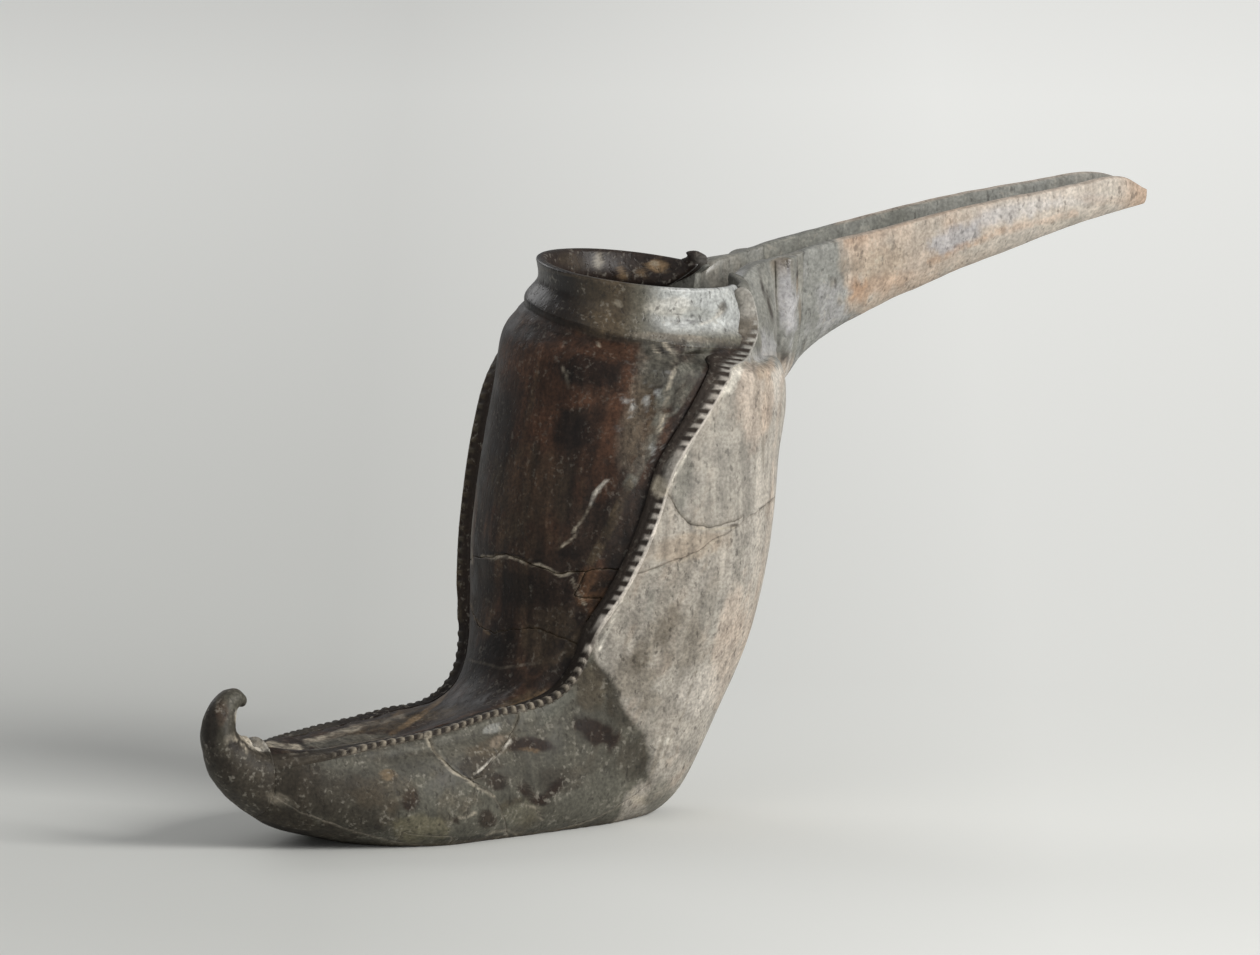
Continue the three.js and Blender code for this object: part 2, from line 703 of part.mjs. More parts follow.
add('sole', wallPiece(isSole, soleWall), 0x5c554e, 0.8);
add('foot_wall_toe', wallPiece((row, column) => isToe(row, column) && !isEdgeFill(row, column), wall), 0x5d5a5a);
add('foot_wall_toe_right', wallPiece(isToeRight, wall), 0x5d5a5a);
add('foot_wall_heel', wallPiece(isHeel, wall), 0x6b6560);
add('instep_sherd', wallPiece(isInstepSherd, wall), 0x6e5c50, 0.7);
add('sole_edge_fill', wallPiece(isEdgeFill, wall), 0x77706a, 0.8);
add(
  'leg_wall',
  besideWelts(wallPiece((row, column) => isLeg(row) && !isFlankSherd(row, column) && !isSlot(row, column), wall)),
  0x8d8078,
);
add('flank_sherd', wallPiece(isFlankSherd, wall), 0x94877e);
add('front_panel_foot', panelPiece((row) => row < bendRow), 0x4a4646, 0.45);
add('front_panel_ankle', panelPiece((row, column) => row >= bendRow && row < shinRow && !isPanelFill(row, column)), 0x38302b, 0.45);
add('panel_fill', panelPiece(isPanelFill), 0x5b4030, 0.7);
add('front_panel_upper', besideWelts(panelPiece((row) => row >= shinRow && row < neckRow)), 0x2b2624, 0.4);
add('neck_collar', besideWelts(panelPiece((row) => row >= neckRow, neckRow)), 0x5a5654, 0.4);
add('seam_left', welt(1, 0), 0x9a8f86, 0.7);
add('seam_right', welt(-1, 2), 0x6a625c, 0.7);
add('toe_curl', toeCurl(), 0x7a7570, 0.8);

const rootStops = [
  ...evenly(bandStart - rootReach, bandStart, rootRows),
  ...evenly(bandStart, rootLength, rootEndRows).slice(1),
];
add('spout_root', besideBody(trough(rootStops)), 0x77736f, 0.3);
add('spout_band', besideBody(spoutBand(bandRows)), 0x807a74, 0.6);
add('spout_trough', trough(evenly(rootLength + joint, spoutLength - tipLength, troughRows)), 0xb5855c, 0.5);
add('spout_tip', trough(evenly(spoutLength - tipLength + joint, spoutLength, tipRows)), 0xc08050, 0.5);

boot.updateMatrixWorld(true);
const bounds = new THREE.Box3().setFromObject(boot);
const middle = bounds.getCenter(new THREE.Vector3());
boot.position.set(-middle.x, -middle.y, -bounds.min.z);

export default boot;
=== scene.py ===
"""A handmade pottery boot with an open beak spout, dressed round its CAD frame."""
import bpy
import math
import numpy as np
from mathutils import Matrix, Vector
from mathutils.bvhtree import BVHTree


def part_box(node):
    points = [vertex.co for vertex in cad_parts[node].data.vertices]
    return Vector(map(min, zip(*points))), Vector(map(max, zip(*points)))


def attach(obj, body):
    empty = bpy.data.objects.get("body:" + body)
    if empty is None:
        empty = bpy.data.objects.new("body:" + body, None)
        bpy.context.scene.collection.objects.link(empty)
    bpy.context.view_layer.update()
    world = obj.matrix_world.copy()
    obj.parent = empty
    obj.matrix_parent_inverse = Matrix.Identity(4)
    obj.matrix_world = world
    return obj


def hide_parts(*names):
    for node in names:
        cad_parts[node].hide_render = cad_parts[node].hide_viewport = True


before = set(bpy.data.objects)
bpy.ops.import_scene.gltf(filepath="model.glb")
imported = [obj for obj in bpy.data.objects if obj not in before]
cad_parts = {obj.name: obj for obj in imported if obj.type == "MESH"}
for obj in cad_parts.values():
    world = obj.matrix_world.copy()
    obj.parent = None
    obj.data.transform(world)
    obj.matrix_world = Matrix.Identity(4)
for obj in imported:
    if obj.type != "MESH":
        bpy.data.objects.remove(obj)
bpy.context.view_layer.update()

# The boot's form, in millimetres
BOOT_HEIGHT, LEG_RADIUS, FOOT_LENGTH, FOOT_HALF = 167, 51, 96, 37
NECK_RADIUS, NECK_BACK, NECK_OFFSET, NECK_DROP, NECK_HEIGHT, RIM_DROP = 39, 36.5, 8, 8.5, 14, 4.5
WALL, SOLE_WALL, JOINT = 4.6, 6.5, 0.36
WELT_WIDTH, WELT_HEIGHT, NOTCH_PITCH = 5.4, 3.2, 3.7
PANEL_SINK, GROOVE_DEPTH, NECK_SWELL, SLOT_MARGIN = 2.4, 11, 3, 2
CURL_REACH, CURL_RISE = 15.5, 25.5
SPOUT_LENGTH, SPOUT_RISE, SPOUT_HALF, SPOUT_WALL, TIP_LENGTH, ROOT_LENGTH = 172, 41, 11.6, 4.2, 19, 16.5
NARROW_SHARE, ROUNDNESS = 0.4, 0.8
ROOT_REACH, ROOT_HALF, ROOT_TOP_HALF, ROOT_CURVE, ROOT_TOP_CURVE = 32, 57, 23, 0.5, 1.2
BAND_START, BAND_WIDTH, BAND_THICKNESS, BAND_EDGE = 5, 8.6, 2.6, 0.3
WELT_FLARE, ARRIS = 1.2, 0.3
SLOT_LEFT, KNOB_RISE, KNOB_HALF, KNOB_FLAT = 9.5, 3.6, 3.9, 0.8
CROOK_DROP, LIP_DIP, LIP_DROOP, RIM_THINNING = 3.2, 1.3, 3, 1.4
SIDE_COLUMNS, BACK_COLUMNS, PANEL_COLUMNS = 7, 6, 8
DEGREE = math.pi / 180
MM = 0.001

# The boot's stations. The front and the back are each in shares of the leg's radius, the foot's length and
# the boot's height. Then come the half width, the waist, the power, both seams and the underside's edge
BOOT_SHARES = [
    ((-1.06, -1.0, 0.222), (-1.08, -1.0, 0.068), 0.3, 0.5, 2.0, 58, 54, 116),
    ((-1.06, -0.87, 0.231), (-1.12, -0.87, 0.036), 0.55, 0.56, 2.1, 54, 55, 116),
    ((-1.06, -0.66, 0.247), (-1.14, -0.66, 0.004), 0.84, 0.6, 2.4, 50, 58, 117),
    ((-1.06, -0.43, 0.268), (-1.14, -0.43, -0.026), 1.0, 0.62, 2.6, 47, 57, 118),
    ((-1.06, -0.23, 0.297), (-1.02, -0.23, -0.03), 0.98, 0.64, 2.6, 43, 54, 118),
    ((-1.06, -0.12, 0.33), (-0.7, -0.08, -0.03), 0.95, 0.66, 2.5, 42, 52, 118),
    ((-1.06, -0.06, 0.37), (-0.23, 0, -0.024), 0.96, 0.58, 2.3, 45, 51, 119),
    ((-1.05, -0.02, 0.41), (0.22, 0, 0.018), 1.04, 0.5, 2.1, 48, 50, 122),
    ((-1.04, 0, 0.455), (0.53, 0, 0.165), 1.18, 0.48, 2.0, 51, 49, 126),
    ((-1.03, 0, 0.506), (0.76, 0, 0.306), 1.29, 0.49, 2.0, 55, 49, 130),
    ((-1.02, 0, 0.565), (0.9, 0, 0.441), 1.35, 0.5, 2.0, 59, 49, 132),
    ((-0.98, 0, 0.635), (0.98, 0, 0.571), 1.37, 0.5, 2.0, 63, 49, 134),
    ((-0.92, 0, 0.729), (1.03, 0, 0.706), 1.355, 0.5, 2.0, 67, 49, 136),
    ((-0.85, 0, 0.835), (1.1, 0, 0.812), 1.32, 0.5, 2.0, 76, 54, 142),
    ((-0.79, 0, 0.93), (1.06, 0, 0.895), 1.28, 0.5, 2.0, 86, 80, 152),
    ((-0.69, 0, 0.974), (0.9, 0, 0.922), 1.14, 0.51, 2.0, 94, 107, 162),
]
NECK_SHARES = [(1.0, 0, 107, 119), (0.925, 0.5, 123, 143), (0.94, 1, 119, 163)]
LEAN_SHARES = [0] * 12 + [0.02, 0.06, 0.11, 0.16, 0.18, 0.15, 0.11, 0.11]
GROOVE_SHARES = [0, 0.5, 0.9, 1, 1, 0.8, 0.5, 0.2, 0.05] + [0] * 11
SWELL_SHARES = [0] * 15 + [0.3, 0.8, 1, 0.1, 0]
RISE_SHARES = [0.3, 0.6, 0.9] + [1] * 17
SINK_SHARES = [0.2, 0.6, 0.9] + [1] * 17
SIDE, WAIST, POWER, LEFT_SEAM, RIGHT_SEAM, UNDER, LEAN, GROOVE, SWELL, RISE, SINK = range(4, 15)
ROWS_BETWEEN = [2, 3, 3, 3, 2, 3, 4, 4, 3, 3, 2, 2, 3, 3, 4, 4, 4, 4, 2]


def station_table():
    table = []
    for front, back, side, waist, power, left, right, under in BOOT_SHARES:
        table.append([
            front[0] * LEG_RADIUS + front[1] * FOOT_LENGTH, front[2] * BOOT_HEIGHT,
            back[0] * LEG_RADIUS + back[1] * FOOT_LENGTH, back[2] * BOOT_HEIGHT,
            side * FOOT_HALF, waist, power, left, right, under,
        ])
    necks = [(share, 0) for share in NECK_SHARES] + [(NECK_SHARES[-1], KNOB_RISE)]
    for (radius, rise, left, right), lift in necks:
        level = BOOT_HEIGHT + rise * NECK_HEIGHT + lift
        table.append([
            NECK_OFFSET - radius * NECK_RADIUS, level,
            NECK_OFFSET + radius * NECK_BACK, level - (NECK_DROP + (RIM_DROP - NECK_DROP) * rise),
            radius * NECK_RADIUS, NECK_RADIUS / (NECK_RADIUS + NECK_BACK), 2.0, left, right,
            180 - math.asin(SLOT_LEFT / NECK_BACK) / DEGREE,
        ])
    return np.column_stack([table, LEAN_SHARES, GROOVE_SHARES, SWELL_SHARES, RISE_SHARES, SINK_SHARES])


def extended(points):
    """The points with one more at each end, in line with the last two."""
    return np.vstack([2 * points[0] - points[1], points, 2 * points[-1] - points[-2]])


def smooth_between(p0, p1, p2, p3, t):
    """A smooth curve's value at share t from p1 to p2, where p0 and p3 are the points beyond them."""
    t0, t1 = (p2 - p0) / 2, (p3 - p1) / 2
    return p1 + t0 * t + (-3 * p1 + 3 * p2 - 2 * t0 - t1) * t ** 2 + (2 * p1 - 2 * p2 + t0 + t1) * t ** 3


STATIONS = extended(station_table())
LAST_STATION = len(STATIONS) - 3


def along_track(place):
    """Every shaping value at places along the boot, on one smooth curve through the stations."""
    place = np.clip(np.asarray(place, float), 0, LAST_STATION)
    index = np.minimum(place.astype(int), LAST_STATION - 1)
    return smooth_between(*(STATIONS[index + k] for k in range(4)), (place - index)[..., None])


def slant(before, after, forward):
    """How much further a lift reaches along forward, because the outline runs aslant there."""
    way = after - before
    way = way / np.linalg.norm(way, axis=-1, keepdims=True)
    cross = forward[..., 1] * way[..., 0] - forward[..., 0] * way[..., 1]
    return np.minimum(1 / np.maximum(np.abs(cross), 1e-6), 1.5)


def skin(place, turn, lift):
    """Points of the boot's skin: place along the boot, turn from the front to the left, lift out of it."""
    place, turn, lift = np.broadcast_arrays(*(np.asarray(a, float) for a in (place, turn, lift)))
    v = along_track(place)
    nudge = 1e-4 * LAST_STATION
    before, after = along_track(place - nudge), along_track(place + nudge)
    front, back = v[..., 0:2], v[..., 2:4]
    depth = np.linalg.norm(front - back, axis=-1)
    forward = (front - back) / depth[..., None]
    to_front, to_back = depth * v[..., WAIST], depth * (1 - v[..., WAIST])
    centre = front - forward * to_front[..., None]
    front_slant = slant(before[..., 0:2], after[..., 0:2], forward)
    back_slant = slant(before[..., 2:4], after[..., 2:4], forward)
    cosine, sine = np.cos(turn), np.sin(turn)
    ahead = cosine > 0
    raised = lift + NECK_SWELL * v[..., SWELL] * np.maximum(sine, 0) * np.maximum(-2 * cosine, 0)
    reach = np.where(ahead, to_front + raised * front_slant, to_back + raised * back_slant)
    power = np.where(ahead, 2.0, v[..., POWER])
    across = np.abs(sine) / (v[..., SIDE] + raised)
    radius = ((np.abs(cosine) / reach) ** power + across ** power) ** (-1 / power)
    climb = forward[..., 1] * cosine - v[..., LEAN] * sine
    floor = np.maximum(-lift, 0)
    limit = (centre[..., 1] - floor) / np.maximum(-climb, 1e-9)
    radius = np.where(climb < 0, np.minimum(radius, limit), radius)
    y = -sine * radius
    return np.stack([
        centre[..., 0] + forward[..., 0] * cosine * radius, y,
        centre[..., 1] + forward[..., 1] * cosine * radius + v[..., LEAN] * y,
    ], axis=-1)


def span(a, b):
    return np.linalg.norm(a - b, axis=-1)


def spread(place, turn, width):
    """The turn that a width across the boot takes up."""
    arc = span(skin(place, turn + DEGREE, 0), skin(place, turn - DEGREE, 0))
    return width * 2 * DEGREE / arc


def stride(place, turn, length):
    """How many stations a length along the boot takes up."""
    before, after = np.maximum(place - 0.02, 0), np.minimum(place + 0.02, LAST_STATION)
    return length * (after - before) / span(skin(after, turn, 0), skin(before, turn, 0))


def seam_line(place, side):
    v = along_track(place)
    return v[..., LEFT_SEAM] * DEGREE if side > 0 else -v[..., RIGHT_SEAM] * DEGREE


def seam_pace(place, side):
    """How far round the boot one millimetre beside a seam goes."""
    turn = seam_line(place, side)
    before, after = np.maximum(place - 0.1, 0), np.minimum(place + 0.1, LAST_STATION)
    along = span(skin(after, turn, 0), skin(before, turn, 0))
    path = span(skin(after, seam_line(after, side), 0), skin(before, seam_line(before, side), 0))
    return spread(place, turn, path / along)


KNOTS = np.linspace(0, LAST_STATION, 4000)
SEAM_LINES = {side: seam_line(KNOTS, side) for side in (1, -1)}
SEAM_PACES = {side: seam_pace(KNOTS, side) for side in (1, -1)}


def seam_turn(place, side):
    return np.interp(place, KNOTS, SEAM_LINES[side])


def beside_seam(place, side, offset):
    return seam_turn(place, side) + side * offset * np.interp(place, KNOTS, SEAM_PACES[side])


ROWS = [0.0]
for station, count in enumerate(ROWS_BETWEEN):
    ROWS += [station + row / count for row in range(1, count + 1)]
ROWS = np.array(ROWS)


def row_at(station):
    return int(np.argmin(np.abs(ROWS - station)))


NECK_ROW, RIM_ROW, LAST_ROW = row_at(16), row_at(18), len(ROWS) - 1
SILL_ROW, SOLE_END_ROW = row_at(14.5), row_at(6.25)
WALL_COLUMNS = 2 * SIDE_COLUMNS + BACK_COLUMNS
FOOT_CRACK_ROW, INSTEP_ROW, LEG_BREAK_ROW, FLANK_ROW = row_at(3.33), row_at(4.5), row_at(10.5), row_at(11.5)
BEND_ROW, SHIN_ROW = row_at(7.5), row_at(9.33)
WALL_LINES = [
    (row_at(1), []),
    (FOOT_CRACK_ROW, [2.81, 2.86, 3.0, 3.31, 3.7, 3.87, 4.01, 4.18, 4.05, 3.8, 3.6,
                      3.5, 3.45, 3.4, 3.2, 3.1, 3.15, 3.35, 3.6, 3.75, 3.8]),
    (INSTEP_ROW, [4.7, 4.4, 3.9, 3.52, 4.08, 4.42, 4.68, 4.85]),
    (row_at(8), []),
    (LEG_BREAK_ROW, [9.7, 10.07, 10.38, 10.75, 11.0, 11.2, 11.31, 11.35, 11.3, 11.2, 11.1,
                     11.0, 10.8, 10.5, 10.2, 9.9, 9.7, 9.5, 9.4, 9.3, 9.2]),
    (FLANK_ROW, [11.45, 11.05, 10.87, 10.95, 11.12, 11.5, 11.68, 11.72, 11.7, 11.65, 11.6,
                 11.6, 11.5, 11.4, 11.4, 11.3, 11.3, 11.2, 11.2, 11.2, 11.2]),
    (row_at(13.67), []),
]
PANEL_LINES = [
    (row_at(5), []),
    (BEND_ROW, [8.06, 8.08, 7.88, 7.48, 7.03, 6.82, 7.08, 7.31, 7.42, 7.44, 7.46]),
    (SHIN_ROW, [9.4, 9.37, 9.32, 9.31, 9.37, 9.48, 9.45, 9.33, 9.51, 9.75, 9.8]),
    (row_at(12), []),
]


def bent_rows(lines, columns):
    """The station of every row of facets at every column, bent along the break lines."""
    knots = [0] + [row for row, places in lines] + [LAST_ROW]
    table = np.empty((LAST_ROW + 1, columns + 1))
    for column in range(columns + 1):
        sways = [places[column] - ROWS[row] if column < len(places) else 0 for row, places in lines]
        table[:, column] = ROWS + np.interp(np.arange(LAST_ROW + 1), knots, [0] + sways + [0])
    return table


def on_grid(table, row, column):
    """A table's value at fractional rows and columns, straight along a column and smooth along a row."""
    low = np.clip(row.astype(int), 0, table.shape[0] - 2)
    side = np.clip(column.astype(int), 0, table.shape[1] - 2)
    t, s = row - low, column - side
    picks = [np.clip(side + k, 0, table.shape[1] - 1) for k in (-1, 0, 1, 2)]
    return smooth_between(*(table[low, pick] * (1 - t) + table[low + 1, pick] * t for pick in picks), s)


WALL_TABLE = bent_rows(WALL_LINES, WALL_COLUMNS)
PANEL_TABLE = bent_rows(PANEL_LINES, PANEL_COLUMNS + 2)


HASH_PRIMES, SEED_PRIME, MIXING_PRIME = (374761393, 668265263, 2147483647), 974634777, 1274126177


def noise(points, size, seed=0, octaves=3):
    """Value noise from -1 to 1 at points in millimetres, with features about size across."""
    total, weight = 0.0, 0.0
    for octave in range(octaves):
        p = np.asarray(points) / (size * 0.5 ** octave) + 17.3 * octave
        cell = np.floor(p)
        f = p - cell
        f = f * f * f * (f * (f * 6 - 15) + 10)
        cell = cell.astype(np.int64).astype(np.uint32)
        keys = [[(cell[..., k] + np.uint32(step)) * np.uint32(prime) for step in (0, 1)]
                for k, prime in enumerate(HASH_PRIMES)]
        shares = [[1 - f[..., k], f[..., k]] for k in range(3)]
        salt = np.uint32((seed + 31 * octave) * SEED_PRIME & 0xFFFFFFFF)
        value = 0.0
        for corner in range(8):
            a, b, c = corner & 1, corner >> 1 & 1, corner >> 2 & 1
            h = keys[0][a] + keys[1][b] + keys[2][c] + salt
            h = (h ^ (h >> np.uint32(13))) * np.uint32(MIXING_PRIME)
            h = ((h ^ (h >> np.uint32(16))) & np.uint32(0xFFFF)) / 32767.5 - 1
            value = value + shares[0][a] * shares[1][b] * shares[2][c] * h
        total, weight = total + value * 0.5 ** octave, weight + 0.5 ** octave
    return total / weight


def uneven(points, layers):
    """A sum of noises, from each one's feature size, seed, octaves and height in millimetres."""
    return sum(noise(points, size, seed, octaves) * height for size, seed, octaves, height in layers)


# The photograph's view, its picture in pixels, and the place on the floor that falls at BASE_U, BASE_V in it
YAW, TILT, RANGE_MM, MM_PER_PX = 38 * DEGREE, 7.3 * DEGREE, 6000, 0.33
PICTURE_WIDTH, MIDDLE_U, MIDDLE_V, BASE_U, BASE_V = 1260, 630, 477.5, 673.5, 803
AHEAD = np.array([math.sin(YAW) * math.cos(TILT), math.cos(YAW) * math.cos(TILT), -math.sin(TILT)])
RIGHT = np.array([math.cos(YAW), -math.sin(YAW), 0])
UP = np.cross(RIGHT, AHEAD)
BASE = np.array([22.0, 0, 0])
CENTRE = BASE + RIGHT * (MIDDLE_U - BASE_U) * MM_PER_PX + UP * (BASE_V - MIDDLE_V) * MM_PER_PX
EYE = CENTRE - AHEAD * RANGE_MM


def picture(points):
    """Where points of the boot fall in the 1260 by 955 picture."""
    from_eye = points - EYE
    size = RANGE_MM / MM_PER_PX / (from_eye @ AHEAD)
    return MIDDLE_U + from_eye @ RIGHT * size, MIDDLE_V - from_eye @ UP * size


sill = skin(ROWS[SILL_ROW], math.pi, 0)
tip_low, tip_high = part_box("spout_tip")
SHIFT = np.array([tip_high.x / MM - sill[0] - SPOUT_LENGTH, (tip_low.y + tip_high.y) / 2 / MM, 0])


# Clay: the painted colour with grain, streaks, specks and pits, and a burnished or scuffed finish. A slot has
# its grain, streaks, bump, roughness where glossy and where dull, pale specks and dark pits
FINISHES = {
    "sole_clay": (1.3, 0.1, 0.5, (0.6, 0.85), 0.2, 0.4),
    "foot_clay": (1.3, 0.1, 0.4, (0.42, 0.78), 0.35, 0.5),
    "heel_clay": (1.2, 0.14, 0.4, (0.44, 0.78), 0.3, 0.45),
    "sherd_clay": (1.2, 0.16, 0.4, (0.38, 0.74), 0.35, 0.4),
    "repair_fill": (1.2, 0.08, 0.5, (0.6, 0.85), 0.2, 0.3),
    "leg_clay": (1.0, 0.2, 0.3, (0.38, 0.74), 0.25, 0.4),
    "panel_clay": (1.5, 0.34, 0.4, (0.42, 0.74), 0.14, 0.4),
    "rusty_fill": (1.5, 0.2, 0.6, (0.55, 0.8), 0.3, 0.5),
    "collar_clay": (1.2, 0.1, 0.4, (0.3, 0.62), 0.3, 0.55),
    "seam_clay": (1.0, 0.1, 0.4, (0.4, 0.75), 0.2, 0.3),
    "far_seam_clay": (1.2, 0.1, 0.5, (0.45, 0.8), 0.3, 0.3),
    "curl_clay": (1.3, 0.1, 0.4, (0.36, 0.72), 0.35, 0.5),
    "root_clay": (1.0, 0.08, 0.3, (0.2, 0.55), 0.2, 0.35),
    "spout_clay": (1.0, 0.12, 0.3, (0.4, 0.75), 0.35, 0.4),
    "tip_clay": (1.0, 0.12, 0.3, (0.4, 0.75), 0.3, 0.4),
}
PALE_SPECK, DARK_PIT = (0.42, 0.39, 0.33, 1), (0.02, 0.016, 0.013, 1)
SHINY_SLOTS, SHINY, DULL = ("collar_clay", "root_clay"), 0.4, 0.24
FINE_SCALE, COARSE_SCALE, STREAK_SCALE, DOT_SCALE, HOLE_SCALE = 900, 160, 320, 640, 420
BUMP_HEIGHT = 0.0004


class Nodes:
    """A material's shader nodes, made and linked by short calls."""

    def __init__(self, name):
        self.material = bpy.data.materials.new(name)
        self.material.use_nodes = True
        self.nodes, self.links = self.material.node_tree.nodes, self.material.node_tree.links
        self.shader = next(node for node in self.nodes if node.type == "BSDF_PRINCIPLED")

    def add(self, kind, inputs, output, **settings):
        """A new node's output. Each of its inputs is linked to a socket or set to a value."""
        node = self.nodes.new("ShaderNode" + kind)
        for name, value in settings.items():
            setattr(node, name, value)
        for key, value in inputs.items():
            self.feed(node, key, value)
        return node.outputs[output]

    def feed(self, node, key, value):
        if isinstance(value, bpy.types.NodeSocket):
            self.links.new(value, node.inputs[key])
        else:
            node.inputs[key].default_value = value

    def finish(self, **values):
        """Feeds the shader's inputs, whose names are given with _ for each space."""
        for key, value in values.items():
            self.feed(self.shader, key.replace("_", " "), value)

    def combine(self, operation, a, b):
        return self.add("Math", {0: a, 1: b}, "Value", operation=operation)

    def remap(self, value, low, high, start=0.35, end=0.65):
        ends = {"From Min": start, "From Max": end, "To Min": low, "To Max": high}
        return self.add("MapRange", {"Value": value, **ends}, "Result")

    def speckle(self, place, scale, detail, stretch=(1, 1, 1)):
        vector = self.add("Mapping", {"Vector": place, "Scale": stretch}, "Vector")
        return self.add("TexNoise", {"Vector": vector, "Scale": scale, "Detail": detail}, "Fac")

    def tinted(self, below, share, color):
        return self.add("Mix", {0: share, 6: below, 7: color}, 2, data_type="RGBA")


def clay(slot):
    """A slot's finish, over the colour and the gloss that the painters give to every point."""
    grain, streaks, bump, rough, specks, pits = FINISHES[slot]
    made = Nodes(slot + "_finish")
    place = made.add("TexCoord", {}, "Object")
    paint = made.add("Attribute", {}, "Color", attribute_name="paint")
    gloss = paint.node.outputs["Alpha"]

    fine, coarse = made.speckle(place, FINE_SCALE, 4), made.speckle(place, COARSE_SCALE, 4)
    streak = made.speckle(place, STREAK_SCALE, 4, (1, 1, 0.08))
    grained = made.remap(fine, 1 - 0.2 * grain, 1 + 0.2 * grain)
    shade = made.combine("MULTIPLY", grained, made.remap(streak, 1 - streaks, 1 + streaks))
    shade = made.combine("MULTIPLY", shade, made.remap(coarse, 1 - 0.14 * grain, 1 + 0.14 * grain))
    tint = made.add("VectorMath", {}, "Vector", operation="SCALE")
    made.feed(tint.node, "Vector", paint)
    made.feed(tint.node, "Scale", shade)

    dots, holes = made.speckle(place, DOT_SCALE, 5), made.speckle(place, HOLE_SCALE, 5, (1.3, 1, 0.8))
    dotted = made.remap(dots, 0, specks, 0.54, 0.66)
    share = made.combine("MULTIPLY", dotted, made.remap(coarse, 0, 1, 0.5, 0.6))
    color = made.tinted(tint, share, PALE_SPECK)
    color = made.tinted(color, made.remap(holes, pits, 0, 0.33, 0.4), DARK_PIT)

    dull = made.remap(gloss, rough[1], rough[0], 0, 1)
    grit = made.combine("MULTIPLY", fine, made.remap(coarse, 0.3, 1.0))
    height = made.combine("ADD", grit, made.combine("MULTIPLY", streak, made.remap(coarse, 0.8, 0.5)))
    height = made.combine("ADD", height, made.remap(holes, 0, 0.6, 0.33, 0.42))
    relief = made.add("Bump", {"Strength": bump, "Distance": BUMP_HEIGHT, "Height": height}, "Normal")
    made.finish(Base_Color=color, Roughness=made.combine("MULTIPLY", dull, made.remap(coarse, 0.85, 1.15)),
                Normal=relief, Specular_IOR_Level=SHINY if slot in SHINY_SLOTS else DULL)
    return made.material


CLAYS = {slot: clay(slot) for slot in FINISHES}


def make_mesh(name, points, faces, slot, nodes, painter, inside, detail):
    """A piece from points in the boot's millimetres, riding on the frame in place of CAD nodes."""
    mesh = bpy.data.meshes.new(name)
    mesh.vertices.add(len(points))
    mesh.vertices.foreach_set("co", ((points + SHIFT) * MM).astype(np.float32).ravel())
    loops = np.concatenate([f.ravel() for f in faces])
    sizes = np.concatenate([np.full(len(f), f.shape[1]) for f in faces])
    mesh.loops.add(len(loops))
    mesh.loops.foreach_set("vertex_index", loops.astype(np.int32))
    mesh.polygons.add(len(sizes))
    starts = np.concatenate([[0], np.cumsum(sizes)[:-1]])
    mesh.polygons.foreach_set("loop_start", starts.astype(np.int32))
    mesh.update(calc_edges=True)
    mesh.polygons.foreach_set("use_smooth", np.ones(len(mesh.polygons), bool))
    color, gloss = painter(Spots(points, inside, detail))
    layer = mesh.color_attributes.new("paint", "FLOAT_COLOR", "POINT")
    layer.data.foreach_set("color", np.column_stack([color, gloss]).astype(np.float32).ravel())
    mesh.materials.append(CLAYS[slot])
    piece = bpy.data.objects.new(name, mesh)
    bpy.context.scene.collection.objects.link(piece)
    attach(piece, "root")
    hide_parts(*nodes)
    return piece


def volume(points, faces):
    """Six times a closed mesh's volume, which is below zero where its faces look inwards."""
    total = 0.0
    for f in faces:
        for k in range(1, f.shape[1] - 1):
            a, b, c = points[f[:, 0]], points[f[:, k]], points[f[:, k + 1]]
            total += np.einsum("ij,ij->", a, np.cross(b, c))
    return total


def shell(present, place):
    """A closed shell over a grid's present cells. place(row, column, layer, up, across) gives points."""
    rows, columns = present.shape
    padded = np.zeros((rows + 2, columns + 2), bool)
    padded[1:-1, 1:-1] = present
    quarter = [padded[a:a + rows + 1, b:b + columns + 1] for a in (0, 1) for b in (0, 1)]
    below, above = quarter[0] | quarter[1], quarter[2] | quarter[3]
    before, after = quarter[0] | quarter[2], quarter[1] | quarter[3]
    used = below | above
    r, c = np.nonzero(used)
    number = np.full(used.shape, -1)
    number[r, c] = np.arange(len(r))
    inset_row = above[r, c].astype(float) - below[r, c]
    inset_column = after[r, c].astype(float) - before[r, c]
    outer = place(r, c, 0, inset_row, inset_column)
    inner = place(r, c, 1, inset_row, inset_column)
    cr, cc = np.nonzero(present)
    ring = [number[cr, cc], number[cr, cc + 1], number[cr + 1, cc + 1], number[cr + 1, cc]]
    top = np.column_stack(ring)
    faces = [top, top[:, ::-1] + len(r)]
    steps = [(-1, 0), (0, 1), (1, 0), (0, -1)]
    for side, (dr, dc) in enumerate(steps):
        bare = ~padded[cr + 1 + dr, cc + 1 + dc]
        a, b = ring[side][bare], ring[(side + 1) % 4][bare]
        faces.append(np.column_stack([a, a + len(r), b + len(r), b]))
    points = np.vstack([outer, inner])
    if volume(points, faces) < 0:
        faces = [f[:, ::-1] for f in faces]
    inside = np.repeat([0.0, 1.0], len(r))
    bare = np.tile((np.abs(inset_row) + np.abs(inset_column) > 0).astype(float), 2)
    return points, faces, inside, bare


# Fine grids over the same form: fractional rows and columns of the coarse ones
FINE_ROWS = 8


def fine_columns(*runs):
    """Fractional columns for runs of coarse columns, each cut into so many parts."""
    columns, start = [], 0
    for count, parts in runs:
        columns += [start + k / parts for k in range(count * parts)]
        start += count
    return np.array(columns + [start])


WALL_FINE = fine_columns((SIDE_COLUMNS, 13), (BACK_COLUMNS, 7), (SIDE_COLUMNS, 7))
PANEL_FINE = fine_columns((1, 3), (PANEL_COLUMNS, 13), (1, 3))


def lerp(a, b, share):
    return a + (b - a) * share


def mix(a, b, share):
    """Colours blended by a share for every point."""
    return a + (b - a) * np.asarray(share, float)[:, None]


